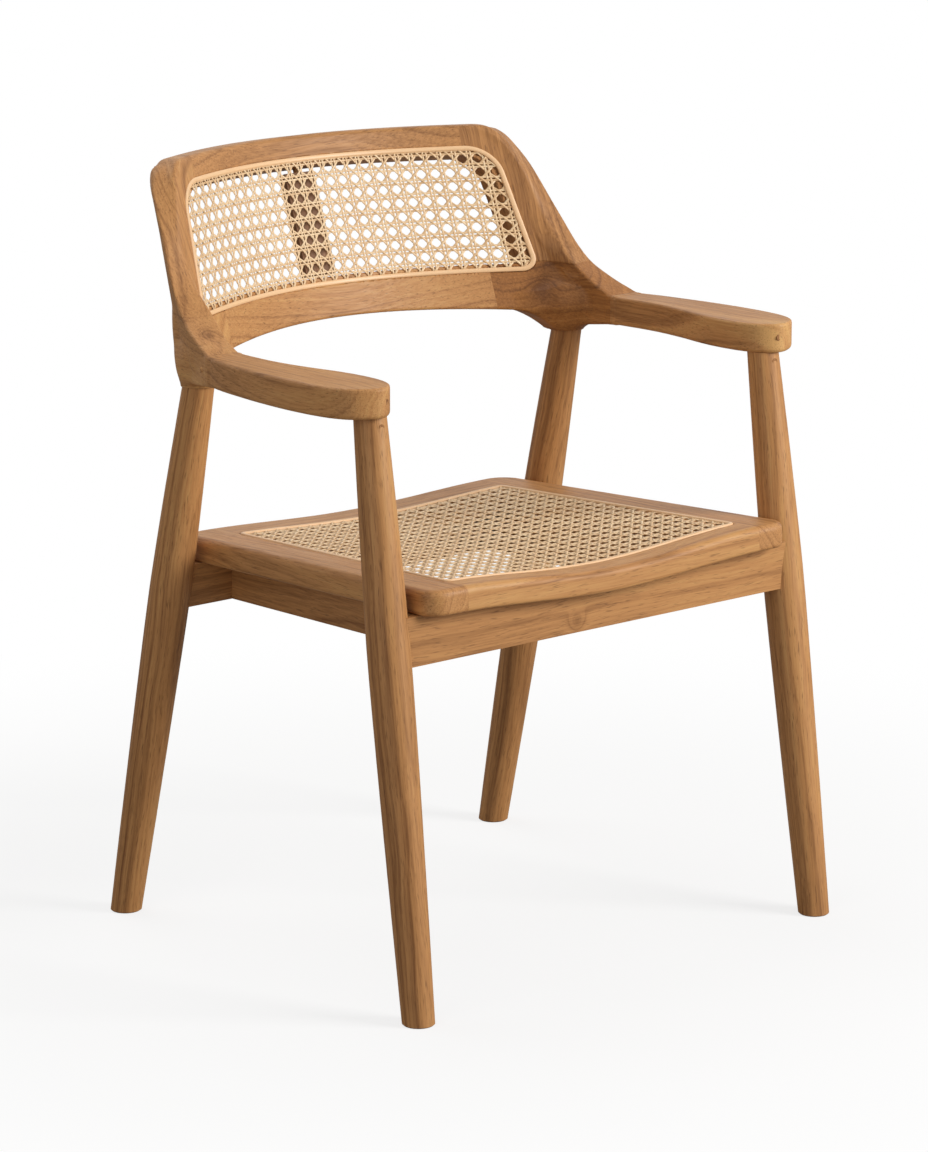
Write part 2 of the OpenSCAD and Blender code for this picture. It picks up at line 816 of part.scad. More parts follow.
module back_stile(side) {
    color(teak) whole() right_or_left(side) difference() {
        union() {
            intersection() {
                back_ring([[back_joint_x, back_h + crest_ease], [340, back_h + crest_ease],
                    [340, stile_joint_h - 60], [back_joint_x, stile_joint_h - 60]]);
                in_back() side_prism(rounded([[60, back_h + crest_ease, 0],
                    [crest_x, back_h + crest_ease, crest_r],
                    [stile_x - side_set + 2, stile_joint_h - 30, 0],
                    [60, stile_joint_h - 30, 0]]));
                below(back_h);
                above(stile_joint_h);
            }
            intersection() {
                member_solid();
                above(stile_joint_h);
            }
        }
        back_dowels();
    }
}

module elbow(side) {
    color(teak) whole() right_or_left(side) difference() {
        union() {
            intersection() {
                back_ring([[back_joint_x, rail_low - 60], [262, rail_low - 60],
                    [262, stile_joint_h + 40], [back_joint_x, stile_joint_h + 40]]);
                level_prism([[back_joint_x - 5, rail_edge(back_joint_x)],
                    [back_joint_x, rail_edge(back_joint_x)], [212, rail_low - 8],
                    [226, rail_low - 13], [237, rail_low - 20], [245, rail_low - 26],
                    [270, rail_low - 26], [270, stile_joint_h + 40],
                    [back_joint_x - 5, stile_joint_h + 40]]);
                below(stile_joint_h);
            }
            intersection() {
                member_solid();
                below(stile_joint_h);
            }
            intersection() {
                along(rear_top - unit(rear_top - rear_foot) * 3, rear_top)
                    cylinder(h = 32, d1 = leg_top_d, d2 = leg_top_d + 18, $fn = 64);
                above(rear_leg_h);
            }
        }
        leg_tenon(rear_foot, rear_top, fit_gap);
        back_dowels();
        arm_dowels();
    }
}

module slat_body() {
    in_back() intersection() {
        bow_layer(13, 13 + slat_t);
        face_prism(window(ledge_in));
        translate([-slat_w / 2, -200, -200]) cube([slat_w, 400, 400]);
    }
}

module back_centre_slat() {
    color(teak_dark) whole() difference() {
        slat_body();
        back_dowels();
    }
}

module back_cane() {
    tall = window_tall / cos(lean) - 2 * ledge_in;
    color(cane_colour) whole() in_back() difference() {
        intersection() {
            bow_layer(0, cane_t);
            face_prism(window(spline_w + fit_gap));
        }
        translate([0, 0, (window_h + window_tall / 2 - lean_h) / cos(lean)]) rotate([90, 0, 0])
            open_grid(2 * (window_top_x - ledge_in), tall);
    }
}

module back_spline() {
    color(cane_colour) whole() in_back() intersection() {
        bow_layer(-spline_proud, rebate_d);
        difference() {
            face_prism(window(fit_gap));
            face_prism(window(spline_w));
        }
    }
}

// One dowel along the bow, centred in the frame's thickness behind x and z
module bow_dowel(x, z) {
    c = cos(lean);
    n = unit([c * bow_slope(x), 1]);
    w = leaned(x, z)[1];
    in_back() translate([x + n[0] * back_t / 2, -c * bow(x) + n[1] * back_t / 2, w])
        rotate([0, 0, -atan(c * bow_slope(x))]) rotate([0, 90, 0])
        cylinder(h = dowel_l, d = dowel_d, center = true, $fn = 32);
}

module back_dowels() {
    for (s = [-1, 1]) right_or_left(s) {
        for (z = [back_h - 25, back_h - 9]) bow_dowel(back_joint_x - 2, z);
        for (z = [rail_low + 8, rail_low + 26]) bow_dowel(back_joint_x - 2, z);
        for (p = [[250, 155], [272, 139]])
            translate([p[0], p[1], stile_joint_h]) rotate([-lean - 5, 0, 0])
                cylinder(h = dowel_l, d = dowel_d, center = true, $fn = 32);
    }
    for (z = [window(ledge_in)[0][1], back_h - crest_w - ledge_in * cos(lean)])
        in_back() translate([0, 13 + slat_t / 2, leaned(0, z)[1]])
            cylinder(h = dowel_l * 0.7, d = dowel_d * 0.75, center = true, $fn = 32);
}

module arm_dowels() {
    for (x = [arm_in_x + arm_back_w * 0.27, arm_in_x + arm_back_w * 0.73])
        translate([x, arm_joint_y, (arm_h + arm_under_h) / 2]) rotate([90, 0, 0])
            cylinder(h = dowel_l, d = dowel_d, center = true, $fn = 32);
}

module back_frame_dowels() {
    color(teak_dark) whole() {
        back_dowels();
        for (s = [-1, 1]) right_or_left(s) arm_dowels();
    }
}

// Arms and their pegs
hand_out_x = arm_hand_x + arm_hand_w;
arm_plan = smooth_path([
    [arm_in_x, arm_joint_y + 30], [arm_in_x, arm_joint_y],
    [arm_in_x + 1, 20], [arm_in_x - 1, -20], [mix(arm_in_x, arm_hand_x, 0.4), -60],
    [mix(arm_in_x, arm_hand_x, 0.84), -100], [arm_hand_x, -arm_hand_y],
    [arm_hand_x + 3, -arm_tip_y + 32], [arm_hand_x + 13, -arm_tip_y + 11],
    [mix(arm_hand_x, hand_out_x, 0.43), -arm_tip_y], [hand_out_x - 18, -arm_tip_y + 12],
    [hand_out_x - 5, -arm_tip_y + 34], [hand_out_x, -arm_hand_y],
    [hand_out_x + 1, -95], [hand_out_x - 2, -50], [mix(arm_out_x, hand_out_x, 0.6), -10],
    [mix(arm_out_x, hand_out_x, 0.35), 24], [arm_out_x, arm_joint_y],
    [arm_out_x - 6, arm_joint_y + 30]], 4);

module arm(side) {
    color(teak) whole() right_or_left(side) difference() {
        intersection() {
            translate([0, 0, arm_under_h]) linear_extrude(arm_h - arm_under_h) polygon(arm_plan);
            translate([0, arm_joint_y - big, 0]) cube([big, big, big]);
        }
        leg_tenon(front_foot, front_top, fit_gap);
        arm_dowels();
        arm_peg_pair();
    }
}

// One peg runs from the arm's end through the tenon, the other plugs the leg
module arm_peg_pair() {
    mid = (arm_h + arm_under_h) / 2 + 1;
    at = on_line(front_foot, front_top, mid);
    translate([at[0], 0, mid]) rotate([90, 0, 0]) translate([0, 0, arm_tip_y - 34])
        cylinder(h = 33, d = peg_d, $fn = 32);
    low = on_line(front_foot, front_top, arm_under_h - 10);
    translate([low[0], low[1], low[2]]) rotate([90, 0, 0])
        cylinder(h = leg_top_d / 2 + 0.4, d = peg_d, $fn = 32);
}

module arm_pegs() {
    color(teak_dark) whole() for (s = [-1, 1]) right_or_left(s) arm_peg_pair();
}

front_leg(-1);  // front_leg_left
front_leg(1);  // front_leg_right
rear_leg(-1);  // rear_leg_left
rear_leg(1);  // rear_leg_right
front_apron();
rear_apron();
side_apron(-1);  // side_apron_left
side_apron(1);  // side_apron_right
corner_block(-1, 1);  // corner_block_front_left
corner_block(1, 1);  // corner_block_front_right
corner_block(-1, -1);  // corner_block_rear_left
corner_block(1, -1);  // corner_block_rear_right
corner_block_screws();
apron_dowels();
seat_front_rail();
seat_back_rail();
seat_side_rail(-1);  // seat_side_rail_left
seat_side_rail(1);  // seat_side_rail_right
seat_frame_dowels();
seat_screws();
seat_cane();
seat_spline();
crest_rail();
lower_back_rail();
back_stile(-1);  // back_stile_left
back_stile(1);  // back_stile_right
elbow(-1);  // elbow_left
elbow(1);  // elbow_right
arm(-1);  // arm_left
arm(1);  // arm_right
back_centre_slat();
back_cane();
back_spline();
back_frame_dowels();
arm_pegs();
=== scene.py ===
import math
import bmesh
import bpy
import numpy as np
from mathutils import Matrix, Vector


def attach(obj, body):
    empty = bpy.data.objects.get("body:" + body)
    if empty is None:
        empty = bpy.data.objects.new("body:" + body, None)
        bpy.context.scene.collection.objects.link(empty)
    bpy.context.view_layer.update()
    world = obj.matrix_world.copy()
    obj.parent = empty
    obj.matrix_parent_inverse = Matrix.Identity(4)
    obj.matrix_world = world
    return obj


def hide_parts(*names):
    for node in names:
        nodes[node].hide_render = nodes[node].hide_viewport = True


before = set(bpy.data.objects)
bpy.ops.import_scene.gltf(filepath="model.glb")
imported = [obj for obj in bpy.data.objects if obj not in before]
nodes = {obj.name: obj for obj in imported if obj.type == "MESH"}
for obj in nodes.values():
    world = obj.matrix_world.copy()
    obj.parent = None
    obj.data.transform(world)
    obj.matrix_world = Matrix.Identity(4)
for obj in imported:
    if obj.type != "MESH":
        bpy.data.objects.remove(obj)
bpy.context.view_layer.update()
scene = bpy.context.scene
scene.view_settings.view_transform = "Standard"

mm = 0.001  # shapes are worked out in millimetres and stored in metres

# Measures that the pieces share, in millimetres and degrees, about the middle of the feet
chair = {
    "armUnder": 619.0, "armThick": 32.0, "windowUp": 21.0, "windowTall": 138.0,
    "crestWide": 22.0, "leanUp": 72.0, "lean": 19.0, "backY": 246.0, "backThick": 26.0,
    "bowRadius": 344.0, "bowLength": 260.0, "seatHigh": 444.0, "seatRake": 1.9,
    "seatFrontY": 242.0, "seatDeep": 442.0, "dishFront": 12.0, "dishRear": 7.0,
    "dishUnder": 10.0, "dishHalf": 225.0, "footY": 256.0, "footWide": 34.0, "crestEase": 4.0,
    "jointHalf": 190.0, "jointUp": 31.0, "armJointY": 53.0,
}
armTop = chair["armUnder"] + chair["armThick"]
windowLow = armTop + chair["windowUp"]
windowTop = windowLow + chair["windowTall"]
leanAt = windowLow + chair["leanUp"]
backTop = windowTop + chair["crestWide"]
jointZ = armTop + chair["jointUp"]
lean = math.radians(chair["lean"])
planFront = chair["footY"] + chair["footWide"] / 2
planBack = (chair["backY"] + math.tan(lean) * (backTop + chair["crestEase"] - leanAt)
            + chair["backThick"] * math.cos(lean))
planMid = (planBack - planFront) / 2
shift = np.array([0, -planMid, 0])  # from the feet's middle to the frame's origin


def rgb(code):
    # sRGB hex to the linear colour that a shader takes
    parts = [int(code[i:i + 2], 16) / 255 for i in (1, 3, 5)]
    return tuple(c / 12.92 if c <= 0.04045 else ((c + 0.055) / 1.055) ** 2.4 for c in parts) + (1,)


def addNode(tree, kind, settings=None, **inputs):
    # One node: its operation or its settings, colour stops if it has them, and each input a
    # value, an output or a node, which stands for its first output
    made = tree.nodes.new("ShaderNode" + kind)
    if isinstance(settings, str):
        settings = {"operation": settings}
    for key, value in (settings or {}).items():
        if key == "stops":
            ramp = made.color_ramp.elements
            while len(ramp) < len(value):
                ramp.new(0.5)
            for element, (place, colour) in zip(ramp, value):
                element.position = place
                element.color = colour if len(colour) == 4 else (*colour, 1)
        else:
            setattr(made, key, value)
    for key, value in inputs.items():
        socket = made.inputs[int(key[1:])] if key[1:].isdigit() else made.inputs[key.replace("_", " ")]
        if isinstance(value, bpy.types.Node):
            value = value.outputs[0]
        if isinstance(value, bpy.types.NodeSocket):
            tree.links.new(value, socket)
        else:
            socket.default_value = value
    return made


def newMaterial(name):
    made = bpy.data.materials.new(name)
    made.use_nodes = True
    made.node_tree.nodes.clear()
    return made, made.node_tree


# Camera, floor and light

viewValues = {
    "eye": (-3162.8, -3579.2, 1486.5),  # mm, from the feet's middle
    "aim": (0.0, 0.0, 380.6),
    "lens": 141.43, "sensor": 36.0,  # mm; the sensor is the frame's long side
}
camera = bpy.data.objects.new("camera", bpy.data.cameras.new("camera"))
scene.collection.objects.link(camera)
scene.camera = camera
eye = Vector(viewValues["eye"]) + Vector(shift)
aim = Vector(viewValues["aim"]) + Vector(shift)
camera.location = eye * mm
camera.rotation_euler = (aim - eye).to_track_quat("-Z", "Y").to_euler()
camera.data.lens = viewValues["lens"]
camera.data.sensor_width = viewValues["sensor"]
camera.data.clip_end = 60

lightValues = {
    "world": 0.29,
    "key": {"at": (2.2, -3.7, 2.2), "size": 1.9, "watts": 190},
    "fill": {"at": (-3.2, -1.2, 1.6), "size": 2.4, "watts": 20},
    "top": {"at": (-0.3, 1.2, 3.4), "size": 2.0, "watts": 26},
}
world = bpy.data.worlds.new("studio")
scene.world = world
world.use_nodes = True
tree = world.node_tree
tree.nodes.clear()
rays = addNode(tree, "LightPath")
seen = addNode(tree, "Math", "MAXIMUM",
               i0=rays.outputs["Is Camera Ray"], i1=rays.outputs["Is Glossy Ray"])
level = addNode(tree, "MapRange", None, Value=seen, To_Min=lightValues["world"], To_Max=1.0)
white = addNode(tree, "Background", None, Color=(1, 1, 1, 1), Strength=level)
addNode(tree, "OutputWorld", None, Surface=white)

for name in ("key", "fill", "top"):
    lampValues = lightValues[name]
    lamp = bpy.data.objects.new(name + "Lamp", bpy.data.lights.new(name + "Lamp", "AREA"))
    scene.collection.objects.link(lamp)
    lamp.data.size = lampValues["size"]
    lamp.data.energy = lampValues["watts"]
    lamp.location = lampValues["at"]
    lamp.rotation_euler = (Vector((0, 0, 0.4)) - lamp.location).to_track_quat("-Z", "Y").to_euler()

# Pale floor: white to the camera, with the chair's soft shadow, and fading into the white behind
floorMaterial, tree = newMaterial("matt white floor")
place = addNode(tree, "TexCoord")
away = addNode(tree, "VectorMath", "LENGTH", i0=place.outputs["Object"])
fade = addNode(tree, "MapRange", {"interpolation_type": "SMOOTHSTEP"},
               Value=away.outputs["Value"], From_Min=0.45, From_Max=1.3, To_Min=0.78, To_Max=1.0)
rays = addNode(tree, "LightPath")
glow = addNode(tree, "Math", "MULTIPLY", i0=fade, i1=rays.outputs["Is Camera Ray"])
shade = addNode(tree, "Mix", {"data_type": "RGBA"}, i0=rays.outputs["Is Camera Ray"],
                i6=rgb("#A09D99"), i7=rgb("#F4F3F1"))  # the wood gets less light from below
matt = addNode(tree, "BsdfDiffuse", None, Color=shade.outputs[2])
light = addNode(tree, "Emission", None, Color=(1, 1, 1, 1), Strength=1.0)
both = addNode(tree, "MixShader", None, i0=glow, i1=matt, i2=light)
addNode(tree, "OutputMaterial", None, Surface=both)
floorMesh = bpy.data.meshes.new("floor")
floorMesh.from_pydata([(-9, -9, 0), (9, -9, 0), (9, 9, 0), (-9, 9, 0)], [], [(0, 1, 2, 3)])
floor = bpy.data.objects.new("floor", floorMesh)
floorMesh.materials.append(floorMaterial)
scene.collection.objects.link(floor)
print("camera, light and floor are set")


# Materials

def teak(name, turn=(0, 0, 0), pith=(60, 35), tone=0.0, ring=8.0, wobble=4.0, curl=0.0,
         light="#D0A064", mid="#B98450", dark="#7E522B", pore="#5A3A1E", late=0.18, spots=()):
    # Planed and oiled teak: growth rings are cylinders about a pith line that lies outside the
    # piece, bent by slow noise; fibres and pores are noise drawn out along the grain. The eye
    # sees warm brown bands, thin darker lines and a satin surface.
    made, tree = newMaterial(name)
    place = addNode(tree, "TexCoord")
    along = addNode(tree, "Mapping", None, Vector=place.outputs["Object"],
                    Location=(-pith[0], -pith[1], 0), Rotation=tuple(math.radians(a) for a in turn),
                    Scale=(1000, 1000, 1000))
    # Slow bends, and short waves where the piece is curly: sizes across and along, in mm
    bent, stretched = along, []
    for size, length, detail, amount in ((55, 210, 2.0, wobble), (40, 26, 1.0, curl)):
        if amount:
            wave = addNode(tree, "VectorMath", "MULTIPLY", i0=along,
                           i1=(1 / size, 1 / size, 1 / length))
            stretched.append(wave)
            wave = addNode(tree, "TexNoise", None, Vector=wave, Scale=1.0, Detail=detail)
            wave = addNode(tree, "VectorMath", "SUBTRACT", i0=wave.outputs["Color"],
                           i1=(0.5, 0.5, 0.5))
            bent = addNode(tree, "VectorMath", "MULTIPLY_ADD", i0=wave,
                           i1=(4 * amount, 4 * amount, 0), i2=bent)
    across = addNode(tree, "VectorMath", "MULTIPLY", i0=bent, i1=(1, 1, 0.015))
    radius = addNode(tree, "VectorMath", "LENGTH", i0=across)
    rings = addNode(tree, "Math", "DIVIDE", i0=radius.outputs["Value"], i1=ring)
    # A spot swells the rings, as round a knot, or shifts the tone: a bell about its middle. Lightening
    # is painted light
    swells = []
    for at, size, turns, shade in spots:
        far = addNode(tree, "VectorMath", "DISTANCE",
                      i0=place.outputs["Object"], i1=tuple(a * mm for a in at))
        far = addNode(tree, "Math", "DIVIDE", i0=far.outputs["Value"], i1=size * mm)
        far = addNode(tree, "Math", "POWER", i0=far, i1=2.0)
        bell = addNode(tree, "Math", "POWER", i0=0.37, i1=far)
        swells.append((bell, shade))
        if turns:
            rings = addNode(tree, "Math", "MULTIPLY_ADD", i0=bell, i1=turns, i2=rings)
    years = addNode(tree, "TexNoise", {"noise_dimensions": "1D"}, W=rings, Scale=0.7, Detail=2.0)
    phase = addNode(tree, "Math", "FRACT", i0=rings)
    dense = addNode(tree, "ValToRGB",
                   {"stops": [(0.0, (0.25,) * 3), (0.12, (0.0,) * 3), (0.7, (0.4,) * 3),
                              (0.92, (1.0,) * 3), (1.0, (0.25,) * 3)]}, Fac=phase)
    fine = addNode(tree, "VectorMath", "MULTIPLY",
                   i0=bent, i1=(1 / 2.2, 1 / 2.2, 1 / 90))  # fibre bundles 2 mm wide
    fibre = addNode(tree, "TexNoise", None, Vector=fine, Scale=1.0, Detail=3.0, Roughness=0.65)
    short = addNode(tree, "VectorMath", "MULTIPLY", i0=bent, i1=(1 / 1.1, 1 / 1.1, 1 / 16))
    # Pores are 0.3 mm wide in the real wood and are drawn about 1 mm wide, to show
    poreNoise = addNode(tree, "TexNoise", None, Vector=short, Scale=1.0, Detail=1.0)
    pores = addNode(tree, "MapRange", None, Value=poreNoise,
                    From_Min=0.60, From_Max=0.74, To_Min=0.0, To_Max=0.55)
    drift = addNode(tree, "TexNoise", None, Vector=stretched[0], Scale=0.7, Detail=1.0)
    total = addNode(tree, "Math", "MULTIPLY_ADD", i0=dense, i1=late, i2=tone - 0.60)
    for part, share in ((years, 0.75), (fibre, 0.85), (drift, 0.55)):
        total = addNode(tree, "Math", "MULTIPLY_ADD", i0=part, i1=share, i2=total)
    for bell, shade in swells:
        total = addNode(tree, "Math", "MULTIPLY_ADD", i0=bell, i1=shade, i2=total)
    colour = addNode(tree, "ValToRGB",
                     {"stops": [(0.0, rgb(light)), (0.5, rgb(mid)), (1.0, rgb(dark))]},
                     Fac=total)
    tinted = addNode(tree, "Mix", {"data_type": "RGBA"}, i0=pores, i6=colour, i7=rgb(pore))
    rough = addNode(tree, "MapRange", None, Value=fibre,
                    From_Min=0.3, From_Max=0.7, To_Min=0.44, To_Max=0.58)
    height = addNode(tree, "Math", "SUBTRACT", i0=fibre, i1=pores)
    bump = addNode(tree, "Bump", None, Strength=0.10, Distance=0.0006, Height=height)
    skin = addNode(tree, "BsdfPrincipled", None, Base_Color=tinted.outputs[2],
                   Roughness=rough, IOR=1.5, Specular_IOR_Level=0.3,
                   Normal=bump)
    addNode(tree, "OutputMaterial", None, Surface=skin)
    return made


def cane(name, light="#F0D6AE", mid="#E2BE90", dark="#B98A58"):
    # Rattan skin, split into strips and woven: pale straw with a waxy shine, each strip a little
    # lighter or darker than the next, and fine fibres along it
    made, tree = newMaterial(name)
    strand = addNode(tree, "Attribute", {"attribute_name": "strand"})
    parts = addNode(tree, "SeparateXYZ", None, Vector=strand.outputs["Vector"])
    own = addNode(tree, "TexWhiteNoise", {"noise_dimensions": "1D"}, W=parts.outputs["Z"])
    drawn = addNode(tree, "VectorMath", "MULTIPLY",
                    i0=strand.outputs["Vector"], i1=(1 / 40, 1 / 0.5, 7.3))  # mm along and across
    fibre = addNode(tree, "TexNoise", None, Vector=drawn, Scale=1.0, Detail=2.0)
    total = addNode(tree, "Math", "MULTIPLY_ADD", i0=own.outputs["Value"], i1=0.55, i2=-0.30)
    total = addNode(tree, "Math", "MULTIPLY_ADD", i0=fibre, i1=0.9, i2=total)
    colour = addNode(tree, "ValToRGB",
                     {"stops": [(0.0, rgb(light)), (0.55, rgb(mid)), (1.0, rgb(dark))]},
                     Fac=total)
    bump = addNode(tree, "Bump", None, Strength=0.15, Distance=0.0004, Height=fibre)
    skin = addNode(tree, "BsdfPrincipled", None, Base_Color=colour,
                   Roughness=0.42, IOR=1.5, Normal=bump)
    addNode(tree, "OutputMaterial", None, Surface=skin)
    return made


def steel(name):
    # Zinc-plated wood screws: grey, a little dull
    made, tree = newMaterial(name)
    place = addNode(tree, "TexCoord")
    spots = addNode(tree, "TexNoise", None, Vector=place.outputs["Object"], Scale=900.0)
    rough = addNode(tree, "MapRange", None, Value=spots, To_Min=0.28, To_Max=0.46)
    skin = addNode(tree, "BsdfPrincipled", None, Base_Color=rgb("#B4B4B0"),
                   Metallic=1.0, Roughness=rough)
    addNode(tree, "OutputMaterial", None, Surface=skin)
    return made


def dress(obj, material):
    # The material goes on the object, so the node's own mesh stays as it is
    for slot in obj.material_slots:
        slot.link = "OBJECT"
        slot.material = material


alongX, alongY, upright = (0, 90, 0), (90, 0, 0), (0, 0, 0)
woodLooks = {
    "front_leg_left": dict(turn=(7.6, 0, 0), pith=(-330, 10), tone=0.06),
    "front_leg_right": dict(turn=(7.6, 0, 0), pith=(205, 60)),
    "rear_leg_left": dict(turn=(-12.3, 0, 0), pith=(-210, 40), tone=0.05),
    "rear_leg_right": dict(turn=(-12.3, 0, 0), pith=(330, -40), tone=0.08),
    "front_apron": dict(turn=alongX, pith=(330, -330), late=0.12,
                        spots=[((-37, -235, 376), 10, 2.0, 0.25)]),
    "rear_apron": dict(turn=alongX, pith=(330, 80), tone=0.1),
    "side_apron_left": dict(turn=alongY, pith=(-280, -330), tone=0.1),
    "side_apron_right": dict(turn=alongY, pith=(160, -450), tone=0.12),
    # Painted light: the front rail's tone is lifted so that its front face, which faces the key lamp,
    # reads lighter
    "seat_front_rail": dict(turn=alongX, pith=(500, -310), tone=-0.12),
    "seat_back_rail": dict(turn=alongX, pith=(520, 200), tone=0.05),
    "seat_side_rail_left": dict(turn=alongY, pith=(-330, -480)),
    "seat_side_rail_right": dict(turn=alongY, pith=(300, -510), tone=0.03),
    "crest_rail": dict(turn=alongX, pith=(930, 190), tone=0.05),
    "lower_back_rail": dict(turn=alongX, pith=(560, 120), tone=-0.03),
    "back_stile_left": dict(turn=(19, 0, 0), pith=(-340, -60), curl=0.8,
                            spots=[((-214, 187, 800), 40, 4.0, 0.0)]),
    # Painted shade: the right stile is darkened throughout for its front face, which turns away from
    # the key lamp
    "back_stile_right": dict(turn=(19, 0, 0), pith=(190, -80), curl=0.8, tone=0.12),
    "elbow_left": dict(turn=alongY, pith=(-320, -760), curl=0.8, tone=-0.1,
                       spots=[((-280, 71, 667), 9, 2.2, 0.4)]),
    # Painted shade: the right elbow gets a darker, warmer teak and a darker tone for its front face,
    # which lies in the key lamp's shade
    "elbow_right": dict(turn=alongY, pith=(220, -760), curl=1.0, wobble=2.5, tone=0.1,
                        light="#C58F54", mid="#A8703A", dark="#70441E",
                        spots=[((236, 120, 654), 13, 2.4, 0.3)]),
    # Each arm's spot at the hand's end is partly painted light: its rings swell as real figure, and
    # its tone is lifted as a painted highlight
    "arm_left": dict(turn=alongY, pith=(-400, -700), tone=0.03,
                     spots=[((-280, -212, 636), 26, 1.5, -0.12)]),
    "arm_right": dict(turn=alongY, pith=(400, -720), tone=0.06,
                      spots=[((278, -212, 637), 32, 1.5, -0.55)]),
    "back_centre_slat": dict(turn=upright, tone=0.5), "arm_pegs": dict(turn=alongY, tone=0.2),
}
for corner in ("front_left", "front_right", "rear_left", "rear_right"):
    woodLooks["corner_block_" + corner] = dict(turn=alongX, tone=0.4)
for frameName in ("apron", "seat_frame", "back_frame"):
    woodLooks[frameName + "_dowels"] = dict(turn=alongX)
for name, look in woodLooks.items():
    dress(nodes[name], teak(name.replace("_", " ") + " oiled teak", **look))
screwSteel = steel("zinc-plated steel")
for name in ("corner_block_screws", "seat_screws"):
    dress(nodes[name], screwSteel)
print("wood and steel are on the pieces")


# Surfaces that the woven panels lie on

def dished(x, deep):
    # The seat is hollowed across as a squared cosine
    inside = np.abs(x) < chair["dishHalf"]
    return np.where(inside, deep * np.cos(np.pi / 2 * x / chair["dishHalf"]) ** 2, 0)


def dishAt(x, back):
    # Its upper face is deeper in front than behind, in proportion to the way back
    fall = chair["dishFront"] - chair["dishRear"]
    return dished(x, chair["dishFront"] - fall * np.clip(back / chair["seatDeep"], 0, 1))


def onSeat(x, y, up):
    # Seat coordinates: x across, y back from the front edge, up from the hollowed surface
    rake = math.radians(chair["seatRake"])
    high = up - dishAt(x, y)
    return np.stack([x,
                     y * math.cos(rake) + high * math.sin(rake) - chair["seatFrontY"] - planMid,
                     -y * math.sin(rake) + high * math.cos(rake) + chair["seatHigh"]], -1)


def upTo(z):
    # How far a height lies up the lean, from where the back begins to lean
    return (z - leanAt) / math.cos(lean)


def bow(x):
    # How far the back's face curves forward: one minus a cosine
    a = chair["bowLength"] ** 2 / chair["bowRadius"]
    return a * (1 - np.cos(x / chair["bowLength"]))


def slopeOf(x):
    # Slope of the bow: a sine
    return chair["bowLength"] / chair["bowRadius"] * np.sin(x / chair["bowLength"])


def onBack(x, up, out):
    # Back coordinates: x across, up along the lean from leanAt, out in front of the bowed face
    slope = slopeOf(x)
    z = leanAt + math.cos(lean) * up
    y = chair["backY"] + math.tan(lean) * (z - leanAt) - bow(x) - planMid
    size = np.sqrt(slope ** 2 + 1 + math.tan(lean) ** 2)
    return np.stack([x - out * slope / size, y - out / size, z + out * math.tan(lean) / size], -1)


def newMesh(name, points, faces):
    # Points in mm become a mesh in metres
    mesh = bpy.data.meshes.new(name)
    mesh.from_pydata((points * mm).tolist(), [], faces)
    return mesh


def addPiece(mesh, material, node):
    # The mesh becomes a piece that rides on the chair and stands for its node
    mesh.materials.append(material)
    mesh.update()
    obj = bpy.data.objects.new(mesh.name, mesh)
    scene.collection.objects.link(obj)
    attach(obj, "root")
    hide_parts(node)


def addSmooth(mesh, material, node, marks=None):
    # Marks are the way along a strand, the way across it and the strand's number
    mesh.polygons.foreach_set("use_smooth", np.ones(len(mesh.polygons), bool))
    if marks is not None:
        layer = mesh.attributes.new("strand", "FLOAT_VECTOR", "POINT")
        layer.data.foreach_set("vector", marks.astype(np.float32).ravel())
    addPiece(mesh, material, node)


def roundedLoop(corners, radii, step):
    # A convex outline whose corners are arcs, as evenly spaced points
    corners = np.array(corners, float)
    loop = []
    for i, radius in enumerate(radii):
        p, q, w = corners[i], corners[i - 1], corners[(i + 1) % len(corners)]
        u, v = (q - p) / np.linalg.norm(q - p), (w - p) / np.linalg.norm(w - p)
        half = math.acos(u @ v) / 2
        middle = p + (u + v) / np.linalg.norm(u + v) * radius / math.sin(half)
        s, e = p + u * radius / math.tan(half) - middle, p + v * radius / math.tan(half) - middle
        f = np.linspace(0, 1, 13)[:, None]
        turn = math.pi - 2 * half
        loop.append(middle + s * np.sin(turn * (1 - f)) / math.sin(turn)
                    + e * np.sin(turn * f) / math.sin(turn))
    loop = np.concatenate(loop)
    closed = np.vstack([loop, loop[:1]])
    lengths = np.concatenate([[0], np.cumsum(np.linalg.norm(np.diff(closed, axis=0), axis=1))])
    count = int(lengths[-1] / step)
    at = np.linspace(0, lengths[-1], count, endpoint=False)
    return np.stack([np.interp(at, lengths, closed[:, k]) for k in (0, 1)], -1), at


def ringFaces(rings, sides, closed):
    # Quads between neighbouring rings of points; closed joins the last ring to the first
    i = np.arange(rings if closed else rings - 1)[:, None]
    j = np.arange(sides)[None, :]
    a, b = i * sides + j, i * sides + (j + 1) % sides
    c = (i + 1) % rings * sides
    return np.stack([a, b, c + (j + 1) % sides, c + j], -1).reshape(-1, 4)


